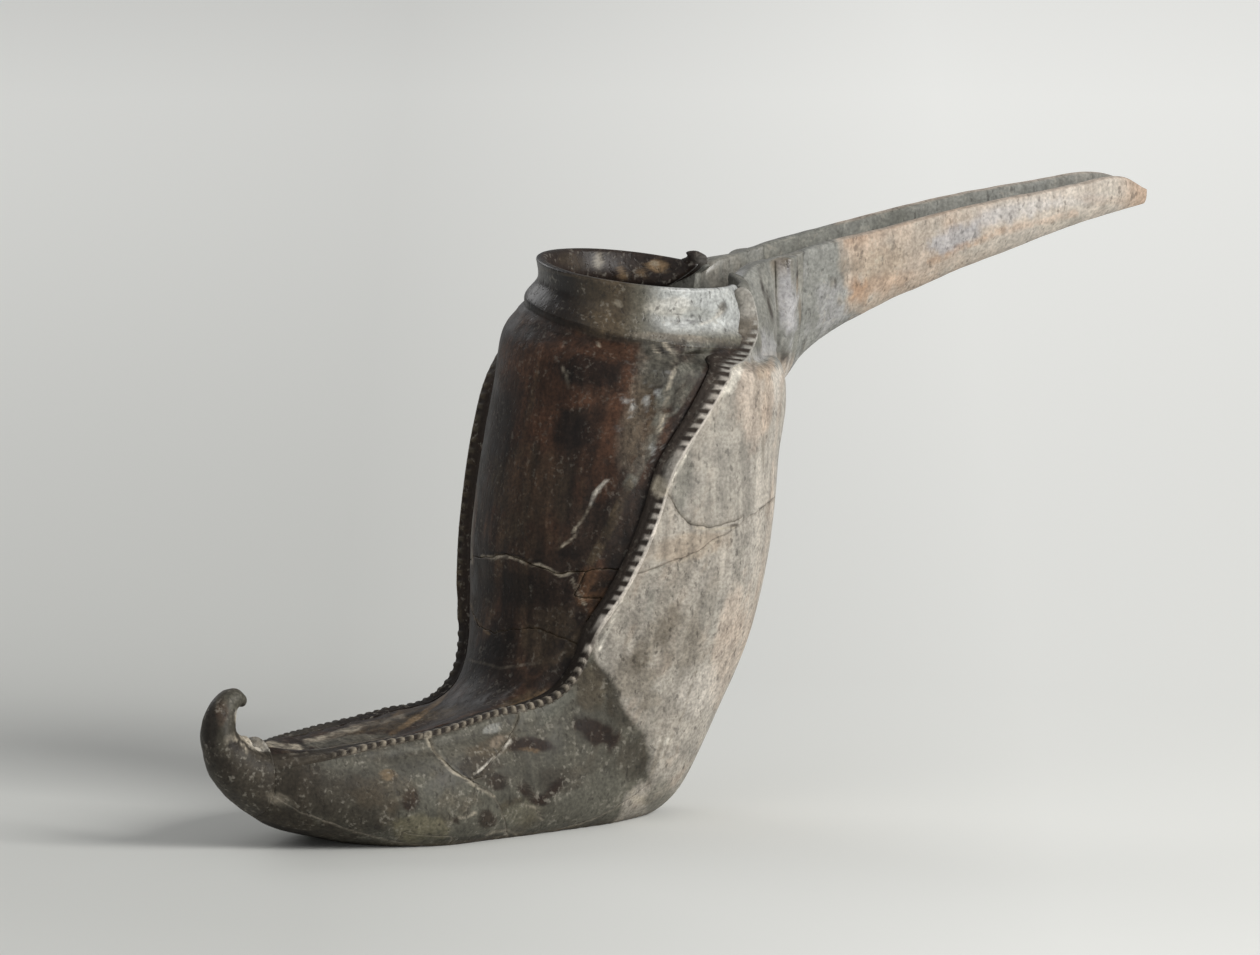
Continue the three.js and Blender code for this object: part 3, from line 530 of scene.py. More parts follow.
def fade(value, low, high):
    """0 below low, 1 above high and smooth between; falling if high is below low."""
    t = np.clip((np.asarray(value, float) - low) / (high - low), 0, 1)
    return t * t * (3 - 2 * t)


def wall_turn(place, column, inset):
    left = beside_seam(place, 1, WELT_WIDTH / 2 + inset)
    right = beside_seam(place, -1, WELT_WIDTH / 2 + inset)
    margin = spread(place, left, SLOT_MARGIN)
    under = along_track(place)[..., UNDER] * DEGREE
    left_under = np.maximum(under, left + margin)
    right_under = 2 * math.pi - np.maximum(under, margin - right)
    near = left + (left_under - left) * column / SIDE_COLUMNS
    back = left_under + (right_under - left_under) * (column - SIDE_COLUMNS) / BACK_COLUMNS
    past_back = column - SIDE_COLUMNS - BACK_COLUMNS
    far = right_under + (2 * math.pi + right - right_under) * past_back / SIDE_COLUMNS
    return np.where(column <= SIDE_COLUMNS, near, np.where(column <= SIDE_COLUMNS + BACK_COLUMNS, back, far))


def panel_turn(place, column, inset):
    start, end = beside_seam(place, -1, -WELT_WIDTH / 2), beside_seam(place, 1, -WELT_WIDTH / 2)
    outer_start = beside_seam(place, -1, WELT_WIDTH / 2 + inset)
    outer_end = beside_seam(place, 1, WELT_WIDTH / 2 + inset)
    inside = start + (end - start) * (column - 1) / PANEL_COLUMNS
    first = outer_start + (start - outer_start) * column
    last = end + (outer_end - end) * (column - 1 - PANEL_COLUMNS)
    return np.where(column < 1, first, np.where(column > 1 + PANEL_COLUMNS, last, inside))


def rim_round(place, half):
    """How far each layer draws in towards the rim, for a rounded lip."""
    rim = ROWS[RIM_ROW]
    height = (rim - place) * NECK_HEIGHT / (rim - len(BOOT_SHARES))
    gap = np.clip(1 - height / half, 0, 1)
    return half * (1 - np.sqrt(1 - gap ** 2))


# Unevenness: the ragged and wobbly breaks, and the hand-formed wall
RAGGED, WOBBLY = [(16, 3, 3, 1.5), (5, 4, 3, 0.9)], [(16, 5, 3, 1.3), (5, 6, 3, 0.8)]
HAND_FORMED = [(40, 9, 2, 0.45), (9, 10, 2, 0.12)]
# How far a piece reaches under the welt beside it, and the station where its breaks stop being ragged
WELT_OVERLAP, RAGGED_ENDS = 0.4, {"wall": 13.2, "panel": 15.2}


def welt_flare(place):
    """How far the wall rises towards a welt: fully on the foot and leg, and not on the neck."""
    return np.clip((len(BOOT_SHARES) - place) / 3, 0, 1) * along_track(place)[..., RISE] * WELT_FLARE


def surface(kind, fine, table, thickness):
    """The place function of a fine shell on the wall or on the panel."""
    columns = WALL_COLUMNS if kind == "wall" else PANEL_COLUMNS + 2
    turn_at = wall_turn if kind == "wall" else panel_turn

    def place(r, c, layer, up, across):
        row, column = r / FINE_ROWS, fine[c]
        straight = on_grid(table, row, column)
        edge = np.minimum(column, columns - column)
        turn = turn_at(straight, column, -WELT_OVERLAP)
        at = skin(straight, turn, 0)
        loose = fade(straight, 0, 0.8) * fade(straight, RAGGED_ENDS[kind] + 1, RAGGED_ENDS[kind])
        straight = straight + loose * stride(straight, turn, uneven(at, RAGGED))
        turn = turn_at(straight, column, -WELT_OVERLAP)
        turn = turn + spread(straight, turn, uneven(at, WOBBLY) * loose * fade(edge, 0, 0.8))
        broken = is_broken(kind, r, column)
        gap = JOINT / 2 * (0.45 + 0.25 * noise(at, 4, 7)) * broken
        moved = np.maximum(straight + up * stride(straight, turn, gap), 0)
        swung = turn + across * spread(moved, turn, gap) * (edge > 0)
        thin = RIM_THINNING * fade(moved, 16.6, 18)
        lip = rim_round(moved, (thickness - thin) / 2 - 0.35)
        values = along_track(moved)
        if layer:
            lift = -thickness + thin + noise(at, 18, 8) * 0.5 + lip
        else:
            chipped = (np.abs(up) + np.abs(across) > 0) * broken * (edge > 0)
            lift = uneven(at, HAND_FORMED) * fade(edge, 0, 1.5)
            lift = lift - chipped * (0.22 + 0.16 * noise(at, 3, 11)) - lip
        if kind == "panel":
            spot = np.clip(2 * (column - 1) / PANEL_COLUMNS - 1, -1, 1)
            groove = np.maximum(values[..., GROOVE], 0) * GROOVE_DEPTH * (1 - spot ** 2)
            lift = lift - PANEL_SINK * values[..., SINK] - groove
            lift = lift + (1 - layer) * panel_relief(moved, spot, edge)
        elif not layer:
            lift = lift + welt_flare(moved) * fade(edge, 1.0, 0)
        return skin(moved, swung, lift)

    return place


def is_broken(kind, r, column):
    """How plainly a break shows: 1 where it is open, less where it is faint and 0 along a join."""
    hidden = (r == 0) | (r == RIM_ROW * FINE_ROWS)
    if kind == "panel":
        return 1.0 - (hidden | (r == NECK_ROW * FINE_ROWS))
    back_start, back_end = SIDE_COLUMNS, SIDE_COLUMNS + BACK_COLUMNS
    under = (column > back_start - 0.01) & (column < back_end + 0.01)
    side = (np.abs(column - back_start) < 0.01) | (np.abs(column - back_end) < 0.01)
    hidden = hidden | side | (under & (r == SOLE_END_ROW * FINE_ROWS))
    leg_start = (LEG_BREAK_ROW - 5) * FINE_ROWS
    share = np.where((r < leg_start) & (column > 3.2) & (column < back_start), 0.25, 1.0)
    share = np.where((column < back_end + 0.01) & (r < FINE_ROWS * 4), 0.1, share)
    share = np.where((r > leg_start) & (column > 0.02), np.where(column > 4.2, 0.12, 0.45), share)
    return (1.0 - hidden) * share


def panel_relief(place, spot, edge):
    """The collar's overhanging foot, and the furrow and the border strip beside the seams."""
    ridge = 1.5 * fade(place, 15.3, 16.05) * fade(place, 17.0, 16.1)
    inner = fade(place, 4, 7.5) * fade(place, 17.2, 15.5)
    margin = 1 - np.abs(spot)
    furrow = -0.9 * fade(margin, 0.16, 0.03) * fade(edge, 0.7, 1.0)
    strip = 0.9 * fade(margin, 0.1, 0.2) * fade(margin, 0.36, 0.24)
    return ridge + inner * (furrow + strip * (spot > 0))


def cells(fine):
    """The coarse row and column of every fine cell."""
    rows = np.arange(RIM_ROW * FINE_ROWS) // FINE_ROWS
    columns = np.floor(fine[:-1] + 1e-6).astype(int)
    return np.meshgrid(rows, columns, indexing="ij")


def surface_piece(name, kind, slot, test, thickness):
    fine, table = (WALL_FINE, WALL_TABLE) if kind == "wall" else (PANEL_FINE, PANEL_TABLE)
    row, column = cells(fine)
    points, faces, inside, bare = shell(test(row, column), surface(kind, fine, table, thickness))
    return make_mesh(name + "_clay", points, faces, slot, [name], PAINTERS[kind], inside, bare)


def is_back(column):
    return (column >= SIDE_COLUMNS) & (column < SIDE_COLUMNS + BACK_COLUMNS)


def is_sole(row, column):
    return is_back(column) & (row < SOLE_END_ROW)


def is_edge_fill(row, column):
    return (column == SIDE_COLUMNS - 1) & (row >= row_at(2)) & (row < row_at(2.67))


def is_toe(row, column):
    return (column < SIDE_COLUMNS) & (row < FOOT_CRACK_ROW)


def is_toe_right(row, column):
    return (column >= SIDE_COLUMNS + BACK_COLUMNS) & (row < FOOT_CRACK_ROW)


def is_instep(row, column):
    return (row >= FOOT_CRACK_ROW) & (row < INSTEP_ROW) & (column < 3)


def is_flank(row, column):
    return (row >= LEG_BREAK_ROW) & (row < FLANK_ROW) & (column < 4)


def is_heel(row, column):
    foot = is_sole(row, column) | is_toe(row, column) | is_toe_right(row, column) | is_instep(row, column)
    return (row < LEG_BREAK_ROW) & ~foot


def is_slot(row, column):
    return is_back(column) & (row >= SILL_ROW)


def is_fill(row, column):
    return (row >= SHIN_ROW - 4) & (row < SHIN_ROW) & (column >= np.where(row < SHIN_ROW - 2, 9, 8))


LIP_POINTS = 7


def sweep(rings, hollow=False):
    """A closed solid's points and faces, through rings of points. A hollow ring is a U with round lips."""
    length, count = rings.shape[:2]
    index = np.arange(length * count).reshape(length, count)
    beyond = np.roll(index, -1, axis=1)
    quads = np.stack([index[:-1], beyond[:-1], beyond[1:], index[1:]], axis=-1).reshape(-1, 4)
    points = rings.reshape(-1, 3)
    faces = [quads]
    for row, turn in ((index[0], -1), (index[-1], 1)):
        if hollow:
            arcs, second_lip = count // 2 - LIP_POINTS, count - LIP_POINTS
            outer, inner = row[:arcs], row[arcs + LIP_POINTS:second_lip][::-1]
            strip = np.column_stack([outer[:-1], outer[1:], inner[1:], inner[:-1]])
            lips = [np.concatenate([[outer[-1]], row[arcs:arcs + LIP_POINTS], [inner[-1]]]),
                    np.concatenate([[inner[0]], row[second_lip:], [outer[0]]])]
            faces += [strip[:, ::turn], np.array(lips)[:, ::turn]]
        else:
            fan = np.column_stack([row, np.roll(row, -1), np.full(count, len(points))])
            faces.append(fan[:, ::turn])
            points = np.vstack([points, points[row].mean(axis=0)])
    if volume(points, faces) < 0:
        faces = [f[:, ::-1] for f in faces]
    return points, faces


def by_length(start, end, pitch, line):
    """Stations at even distances along a line on the boot, and the distances."""
    fine = np.linspace(start, end, 6000)
    points = line(fine)
    reached = np.concatenate([[0], np.cumsum(np.linalg.norm(np.diff(points, axis=0), axis=1))])
    steps = np.arange(0, reached[-1], pitch)
    return np.interp(steps, reached, fine), steps


# A welt's section from the arris down to the panel: the offset from the arris, how far below it the ridges
# and the notches between them lie there, and how dark the paint is
WELT_SECTION = [
    (-0.35, 0.15, 0.7, 0), (-0.75, 0.5, 1.45, 0), (-1.2, 1.0, 2.0, 0), (-1.6, 1.75, 2.5, 0.3),
    (-2.0, 2.8, 3.1, 0.9), (-2.5, 3.9, 4.0, 1), (-3.1, 4.7, 4.8, 1),
]
# Where the near and the far welt are worn smooth: the station, how near it the wear is full, and its share
WORN_PLACES = {1: (11.95, 0.3, 1), -1: (13.6, 0.2, 0.6)}


def notching(place, travelled, spot, side, on_foot):
    """How deep a welt is cut at every step: 0 on a ridge and 1 in a notch, less where it is worn."""
    beat = travelled + noise(spot, 9, 21 + side) * 0.6
    phase = (beat / (NOTCH_PITCH * lerp(1, 0.93, on_foot))) % 1
    each = noise(np.round(beat / NOTCH_PITCH)[..., None] * np.array([3.1, 1.7, 2.3]), 4, 29 + side, 1)
    ridge = fade(np.abs(phase - 0.5), 0.36 + 0.05 * each, 0.08) * (0.85 + 0.25 * each)
    worn_place, worn_edge, worn_share = WORN_PLACES[side]
    smooth = fade(np.abs(place - worn_place), 0.5, worn_edge) * worn_share
    smooth = np.maximum(smooth, fade(noise(spot, 13, 23 + side), 0.45, 0.8) * 0.7)
    smooth = np.maximum(smooth, fade(place, 1.2, 0.8))
    return (1 - ridge * (1 - smooth * 0.85)) * lerp(1.0, 0.45, smooth)


def welt_ring(place, spot, side, on_foot, cut):
    """A welt's section at every step: each corner's offset from the seam, lift and darkness."""
    values = along_track(place)
    half, flare = WELT_WIDTH / 2, welt_flare(place)
    size = values[..., RISE] * (0.94 + 0.08 * noise(spot, 20, 27 + side)) * fade(place, -0.5, 1.0)
    top = WELT_HEIGHT * size * lerp(1, 0.72, fade(place, 15.0, 16.4))
    arris = WELT_WIDTH * ARRIS + noise(spot, 11, 25 + side) * 0.3
    narrow, shallow = 1 - 0.25 * fade(place, 14.6, 16.5), 1 - 0.55 * fade(place, 16.0, 17.0)
    base = -PANEL_SINK * values[..., SINK]
    outer_cut, outer_dark = cut * on_foot * size, on_foot * cut
    ring = [
        (-half + 0.1, base + JOINT - 0.6, 1),
        (half + 0.2, base + JOINT - 0.6, 1),
        (half + 0.5, flare * 0.9 - 0.35 - on_foot * 0.25, on_foot),
        (half + 0.15, flare * 0.9 + 0.1, on_foot * 0.8),
        (half * 0.85, lerp(flare, top, 0.4) - outer_cut * 0.8, outer_dark),
        (arris + 0.5, top - 0.5 * size - outer_cut * 1.1, outer_dark),
        (arris + 0.12, top - 0.06 - outer_cut * 1.2, outer_dark),
        (arris - 0.1, top - 0.06 - 0.16 * cut - outer_cut * 1.2, outer_dark),
    ]
    for offset, high, low, dark in WELT_SECTION:
        lift = np.maximum(top - size * lerp(high, low, cut) * shallow, base + 0.1)
        ring.append((arris + offset * narrow, lift, np.maximum(cut, dark)))
    ring.append((-half - 0.1, base + 0.15, 1))
    rows = [[np.broadcast_to(np.asarray(value, float), place.shape) for value in corner] for corner in ring]
    return [np.concatenate(values, axis=1) for values in zip(*rows)]


def welt(side, overrun):
    """A notched welt along one seam. With an overrun it goes on past the rim and ends in a round knob."""
    last, rim = ROWS[RIM_ROW + overrun], ROWS[RIM_ROW]
    place, travelled = by_length(0, last, 0.28, lambda p: skin(p, seam_turn(p, side), 0))
    place, travelled = place[:, None], travelled[:, None]
    spot = skin(place, seam_turn(place, side), 0)
    on_foot = fade(place, 8.6, 7.2)
    cut = notching(place, travelled, spot, side, on_foot)
    offsets, lifts, darks = welt_ring(place, spot, side, on_foot, cut)
    lifts[:, :2] = lerp(lifts[:, :2], 0.8 - WALL, fade(place, rim - 0.1, rim + 0.1))
    if overrun:
        around = (225 + np.arange(offsets.shape[1]) * 360 / offsets.shape[1]) * DEGREE
        round_share = fade(place, rim - 1.6, rim - 0.8)
        offsets = lerp(offsets, KNOB_HALF * np.cos(around) - 0.5, round_share)
        lifts = lerp(lifts, KNOB_HALF * KNOB_FLAT * np.sin(around) - WALL / 2, round_share)
    end_length = 0.9 if overrun else 0.4
    tip = np.sqrt(1 - np.clip(1 - (last - place) / end_length, 0, 0.97) ** 2)
    middle = lifts.mean(axis=1, keepdims=True)
    offsets, lifts = offsets * tip, middle + (lifts - middle) * tip
    places = np.broadcast_to(place, offsets.shape)
    points, faces = sweep(skin(places, beside_seam(places, side, offsets), lifts))
    return points, faces, np.append(darks.ravel(), [0, 0])


# The toe curl: reach, climb, height and width as shares, and the section's turn in degrees
CURL_SHARES = [
    (0, 0, 1, 1, 0), (0.38, 0.11, 0.83, 0.84, 14), (0.74, 0.31, 0.62, 0.67, 46),
    (0.93, 0.6, 0.45, 0.52, 86), (0.76, 0.92, 0.34, 0.42, 138), (0.5, 1.02, 0.24, 0.33, 172),
    (0.33, 0.99, 0.16, 0.24, 186), (0.27, 0.97, 0.02, 0.03, 192),
]


def smooth_rows(table, parts):
    """A table's rows with more between them, on one smooth curve."""
    table = np.array(table, float)
    knots = extended(table)
    at = np.linspace(0, len(table) - 1, (len(table) - 1) * parts + 1)
    index = np.minimum(at.astype(int), len(table) - 2)
    return smooth_between(*(knots[index + k] for k in range(4)), (at - index)[:, None])


def toe_curl():
    """The upturned hook that grows from the toe's end and bends back over it."""
    turn = np.linspace(0, 2 * math.pi, 48, endpoint=False)
    root = skin(0.0, turn, uneven(skin(0.0, turn, 0), HAND_FORMED))
    front, back = skin(0, 0, 0), skin(0, math.pi, 0)
    middle = (front + back) / 2
    up = (front - back) / np.linalg.norm(front - back)
    ahead = np.array([-up[2], 0, up[0]])
    offset = root - middle
    along_up, sideways = (offset @ up)[:, None], offset[:, 1]
    above = np.clip((offset @ up) / (offset @ up).max(), 0, 1) ** 1.5
    rings = []
    for reach, climb, rise, side, lean in smooth_rows(CURL_SHARES, 10):
        centre = middle + ahead * reach * CURL_REACH + np.array([0, 0, climb * CURL_RISE])
        cosine, sine = math.cos(lean * DEGREE), math.sin(lean * DEGREE)
        tilted = np.array([up[0] * cosine + up[2] * sine, 0, up[2] * cosine - up[0] * sine])
        ring = centre + along_up * rise * tilted
        ring[:, 1] += sideways * side
        crook = fade(reach, 0, 0.08) * fade(reach, 0.62, 0.3) * fade(climb, 0.5, 0.3)
        ring[:, 2] -= CROOK_DROP * above * crook
        out = ring - ring.mean(axis=0)
        size = np.linalg.norm(out, axis=1, keepdims=True)
        lump = noise(ring, 8, 41) * 0.5 + noise(ring, 2.6, 42) * 0.16
        rings.append(ring + out / np.maximum(size, 0.6) * (lump * min(1, reach * 3))[:, None])
    points, faces = sweep(np.array(rings))
    return points, faces, np.zeros(len(points))


# The spout: share of its length, top, bottom, floor and half width
SPOUT_SHARES = [
    (-0.12, 0.6, -0.76, 0.04, 0.96), (0.0, 0.63, -0.62, 0.04, 1.0), (0.08, 0.68, -0.42, 0.04, 1.1),
    (0.14, 0.73, -0.18, 0.1, 1.06), (0.25, 0.8, 0.05, 0.22, 0.98), (0.5, 0.94, 0.37, 0.5, 0.88),
    (0.75, 1.03, 0.61, 0.72, 0.76), (0.9, 1.06, 0.74, 0.83, 0.62), (1.0, 0.92, 0.8, 0.87, 0.2),
]
SPOUT_FINE = smooth_rows(SPOUT_SHARES, 40)


def spout_values(along):
    """Top, bottom, floor and half width of the spout at distances along it."""
    share = np.asarray(along, float) / SPOUT_LENGTH
    values = [np.interp(share, SPOUT_FINE[:, 0], SPOUT_FINE[:, k]) for k in range(1, 5)]
    return values[0] * SPOUT_RISE, values[1] * SPOUT_RISE, values[2] * SPOUT_RISE, values[3] * SPOUT_HALF


ARCS = np.linspace(0, 1, 41) * math.pi
DEPTHS = np.maximum(np.sin(ARCS), 0) ** ROUNDNESS


def half_round(along, lift=0.0, hollow=0.0, trough=False):
    """The spout's outside, or its inside, from lip to lip. along may differ from arc to arc."""
    along = np.broadcast_to(np.asarray(along, float), ARCS.shape)
    top, bottom, floor, side = spout_values(along)
    near = np.clip((BAND_START - along) / ROOT_REACH, 0, 1)
    wide = lerp(side, ROOT_HALF, near ** ROOT_CURVE) + lift - hollow
    top_side = lerp(side, ROOT_TOP_HALF, near ** ROOT_TOP_CURVE) + lift - hollow
    low = bottom - lift + hollow
    if trough:
        wide = top_side = np.maximum(side - SPOUT_WALL, side * NARROW_SHARE)
        low = floor
    share = along / SPOUT_LENGTH
    top = top - LIP_DIP * np.clip(np.cos(ARCS), 0, 1) * fade(share, 0.12, 0.35) * fade(share, 0.98, 0.8)
    y = -lerp(top_side, wide, DEPTHS) * np.cos(ARCS)
    return np.column_stack([sill[0] + along, y, sill[2] + top + (low - top) * DEPTHS])


def spout_ring(outer, inner):
    """One closed section of the spout, round over both lips."""
    lips = []
    for a, b in ((outer[-1], inner[-1]), (inner[0], outer[0])):
        centre, radius = (a + b) / 2, (a - b) / 2
        swing = np.linspace(0, math.pi, LIP_POINTS + 2)[1:-1, None]
        crown = min(abs(radius[1]) * 0.45, 0.8) * np.array([0, 0, 1.0])
        lips.append(centre + radius * np.cos(swing) + crown * np.sin(swing))
    return np.vstack([outer, lips[0], inner[::-1], lips[1]])


def roughened(rings, seed, amount):
    """Rings with a hand-shaped unevenness, in and out of their sections."""
    middle = rings.mean(axis=1, keepdims=True)
    out = rings - middle
    out[..., 0] = 0
    out = out / np.maximum(np.linalg.norm(out, axis=-1, keepdims=True), 1.0)
    lump = noise(rings, 26, seed) * amount + noise(rings, 7, seed + 1) * amount * 0.35
    return rings + out * lump[..., None]


def hollow_sweep(rings, amount=0.45):
    """A U-shaped run of the spout, and which of its points lie inside the trough."""
    rings, lip = np.array(rings), np.linspace(0.2, 0.8, LIP_POINTS)
    inner = np.concatenate([np.zeros(len(ARCS)), lip, np.ones(len(ARCS)), lip[::-1]])
    points, faces = sweep(roughened(rings, 53, amount), True)
    return points, faces, np.tile(inner, len(rings))


def spout_run(start, end, step):
    """The open spout from one distance along it to another."""
    stops = np.linspace(start, end, int((end - start) / step))
    return hollow_sweep([spout_ring(half_round(stop), half_round(stop, trough=True)) for stop in stops])


def spout_band():
    """The smooth band round the spout's root, which swells in its middle."""
    rings = []
    for share in np.linspace(0, 1, 30):
        swell = BAND_EDGE + (1 - BAND_EDGE) * math.sin(math.pi * share)
        lift, along = BAND_THICKNESS * swell + 0.1, BAND_START + BAND_WIDTH * share
        rings.append(spout_ring(half_round(along, lift), half_round(along, lift, lift + 0.7)))
    return hollow_sweep(rings, 0.6)


MEETING_STEP, ROOT_OVERLAP, ROOT_RINGS = 0.5, 0.5, 60


def meeting(line):
    """Where the lines of the spout's section come out of the boot's body, along the spout."""
    places, turns = np.linspace(9.5, LAST_STATION, 110), np.linspace(0, 2 * math.pi, 150, endpoint=False)
    points, faces = sweep(skin(places[:, None], turns[None, :], 0))
    body = BVHTree.FromPolygons(points.tolist(), [face for group in faces for face in group.tolist()])
    stops = np.arange(ROOT_LENGTH, BAND_START - ROOT_REACH, -MEETING_STEP)
    gaps = np.empty((len(stops), len(ARCS)))
    for step, stop in enumerate(stops):
        for arc, point in enumerate(line(stop)):
            spot = Vector(point.tolist())
            near, normal = body.find_nearest(spot)[:2]
            gaps[step, arc] = (spot - near).dot(normal)
    first = np.argmax(np.vstack([gaps < 0, np.ones((1, len(ARCS)), bool)]), axis=0).clip(1, len(stops) - 1)
    arcs = np.arange(len(ARCS))
    after, before = gaps[first - 1, arcs], gaps[first, arcs]
    return stops[first - 1] - MEETING_STEP * np.clip(after / np.maximum(after - before, 1e-6), 0, 1)


def drooping(rings, shares):
    """Rings whose lips sink towards the start, so that they grow out of the rim."""
    arcs, lip = 1 - DEPTHS, np.ones(LIP_POINTS)
    weight = np.concatenate([arcs, lip, arcs[::-1], lip])
    rings[..., 2] -= LIP_DROOP * (np.clip(1 - shares * 3, 0, 1) ** 2)[:, None] * weight
    return rings


def spout_root():
    """The saddle that the spout grows from, which begins in the skin of the shoulder."""
    outer = meeting(half_round) - ROOT_OVERLAP
    inner = meeting(lambda along: half_round(along, trough=True)) - ROOT_OVERLAP
    rings, shares = [], np.linspace(0, 1, ROOT_RINGS)
    for share in shares:
        at_outer, at_inner = lerp(outer, ROOT_LENGTH, share), lerp(inner, ROOT_LENGTH, share)
        rings.append(spout_ring(half_round(at_outer), half_round(at_inner, trough=True)))
    return hollow_sweep(drooping(np.array(rings), shares))


# Paint: a colour and a gloss for every point, laid on in the view's own picture coordinates
def tone(red, green, blue):
    """A linear colour from its 0 to 255 values."""
    value = np.array([red, green, blue]) / 255
    return np.where(value <= 0.04045, value / 12.92, ((value + 0.055) / 1.055) ** 2.4)


SLATE, SLATE_DARK, SLATE_PALE = tone(84, 82, 73), tone(56, 50, 42), tone(106, 104, 94)
BEIGE, BEIGE_PALE = tone(172, 164, 153), tone(206, 198, 188)
BEIGE_PINK, BEIGE_GREY = tone(188, 172, 157), tone(142, 138, 130)
# The soot colour is also painted shade: deep in the vessel's inside, under the collar's foot and in the
# furrow along the near seam
BLACK_BROWN, RED_BROWN, SOOT_AND_SHADE, DUN = tone(42, 32, 26), tone(72, 49, 36), tone(24, 17, 14), tone(78, 67, 52)
# The sheen colour is a painted highlight on the collar, and the pale of the specks on the panel
HIGHLIGHT_AND_SPECK, CRUST, OCHRE, TEAL = tone(186, 188, 186), tone(180, 170, 152), tone(140, 116, 86), tone(106, 106, 97)
ORANGE, ORANGE_DEEP = tone(184, 164, 146), tone(176, 142, 114)
LAVENDER, ASH = tone(172, 170, 172), tone(138, 138, 133)
SHERD, RUST, OLIVE, SMOKE = tone(158, 142, 124), tone(84, 60, 42), tone(120, 114, 92), tone(118, 110, 98)
# The blotch colour is also painted shadow in the furrow along the near seam, and the ink colour also painted
# shadow along the foot's bottom edge and in the crevice at the collar's right end
BLOTCH_AND_SHADE, INK_AND_SHADE, CHALK = tone(38, 27, 20), tone(18, 13, 11), tone(216, 210, 198)

# Where the paint changes: not yet at a pair's first value, and fully at its second. Names in U and V run
# across and down the picture in pixels, and names in X, Y and Z along the boot's own axes in millimetres
DEEP_Z, CRUSTED_Z, INSIDE_Y = (172, 140), (150, 168), (-10, 5)
# The leg's right edge in the picture, and how near it and how high up the painted highlight along it reaches
LEG_EDGE_LINE = [(780, 340), (775, 500), (742, 650), (680, 800)]
LEG_EDGE_U, LEG_PALE_V, HEEL_SOFT_U = (-46, -4), (820, 700), (5, -5)
FOOT_PALE_U, TOE_DARK_U, HEEL_DARK_U = (430, 620), (420, 250), (530, 580)
TOE_END_X, SOLE_Z, SHOULDER_X, SHOULDER_Z = (-146, -140), (2.5, 0), (22, 26), (148, 156)
COLLAR_FOOT_U, COLLAR_FOOT_V, COLLAR_BEND_U, COLLAR_BEND_END = 610, 336, 600, 90
COLLAR_Z, COLLAR_SOFT_V, SHIN_Z = (148, 151), (7, -5), (60, 120)
# The collar's paint pales to the right: the pale and the sheen there are a painted highlight where it faces
# the light
COLLAR_DUN_U, COLLAR_PALE_U, COLLAR_SHEEN_U, COLLAR_SHEEN_V = (560, 610), (615, 650), (640, 676), (340, 322)
SEAM_FOOT_U, SEAM_FOOT_Z, SEAM_TOE_U, SEAM_NECK_Z = (610, 560), (70, 55), (345, 328), (146, 152)
SEAM_HIGH_Z, SEAM_TOP_Z, FAR_Y, KNOB_Z = (154, 162), (162, 166), (0, 10), (158, 164)
ROOT_FOOT_V, SPOUT_MIDDLE_V, SPOUT_GREY_U, SPOUT_PALE_U = (348, 366), 275, (856, 838), (940, 1040)
SPOUT_INSIDE_U, SPOUT_LIP_U, SPOUT_TIP_U = (800, 1100), (820, 870), (1112, 1140)
# Patches of the picture that are flecked or pierced: the middle and the half sizes
SPECK_PATCH, PIT_PATCH, EYELET = (650, 420, 36, 70), (688, 314, 22, 12), (661, 350, 1, 1)
FLECK_PATCH = (268, 742, 44, 13)
NEAR_Y, BIG, MID, SMALL, STREAKED = (8, -2), 34, 11, 3.2, 4.5


def from_line(u, v, line):
    """The distance in picture pixels from a line through the given points."""
    line = np.asarray(line, float)
    best = np.full(np.shape(u), np.inf)
    for a, b in zip(line[:-1], line[1:]):
        way = b - a
        t = np.clip(((u - a[0]) * way[0] + (v - a[1]) * way[1]) / (way @ way), 0, 1)
        best = np.minimum(best, np.hypot(u - a[0] - t * way[0], v - a[1] - t * way[1]))
    return best


def beyond(u, v, line):
    """How many pixels a point lies to the right of a line that runs down the picture."""
    line = np.asarray(line, float)
    return u - np.interp(v, line[:, 1], line[:, 0])


def within(u, v, patch, none, full):
    """0 outside a patch of the picture and 1 inside, changing between two shares of its half size."""
    x, y, wide, high = patch
    return fade(np.hypot((u - x) / wide, (v - y) / high), none, full)


class Spots:
    """Points being painted, with where they fall in the picture and the noises that break the paint up."""

    def __init__(self, points, inside, detail):
        self.points, self.inside, self.detail = points, inside, detail
        self.u, self.v = picture(points)
        self.near = fade(points[:, 1], *NEAR_Y)
        mirrored = points * np.where(points[:, 1:2] > 0, [1, -1, 1], [1, 1, 1])
        self.mu, self.mv = picture(mirrored)
        self.big, self.mid = noise(points, BIG, 71), noise(points, MID, 72)
        self.small = noise(points, SMALL, 73)
        self.streak = noise(points * np.array([1, 1, 0.14]), STREAKED, 75)
        sway, rise = self.mid * 4 + self.small * 2.2, noise(points, MID, 76) * 4 + self.small * 1.8
        self.wu, self.wv = self.u + sway, self.v + rise
        self.mu, self.mv = self.mu + sway * 1.4 + self.big * 5, self.mv + rise * 1.4
        self.outer = 1 - inside


def ovals(color, s, mask, marks, bend=0.5):
    """Soft-edged patches: colour, strength, middle, half sizes and turn in degrees."""
    u, v = s.u + (s.wu - s.u) * bend, s.v + (s.wv - s.v) * bend
    for tint, strength, x, y, wide, high, turn in marks:
        a = turn * DEGREE
        du, dv = u - x, v - y
        along, across = du * math.cos(a) + dv * math.sin(a), dv * math.cos(a) - du * math.sin(a)
        share = fade(np.hypot(along / wide, across / high) + s.small * 0.45, 1.3, 0.75)
        color = mix(color, tint, share * mask * strength)
    return color


def lines(color, s, mask, marks, bend=0.35):
    """Soft-edged strokes: colour, strength, width and points."""
    u, v = s.u + (s.wu - s.u) * bend, s.v + (s.wv - s.v) * bend
    for tint, strength, width, points in marks:
        share = fade(from_line(u, v, points), width * 0.5 + 1.3, max(width * 0.5 - 0.6, 0))
        share = share * np.clip(0.75 + s.small * 1.1, 0, 1)
        color = mix(color, tint, share * mask * strength)
    return color


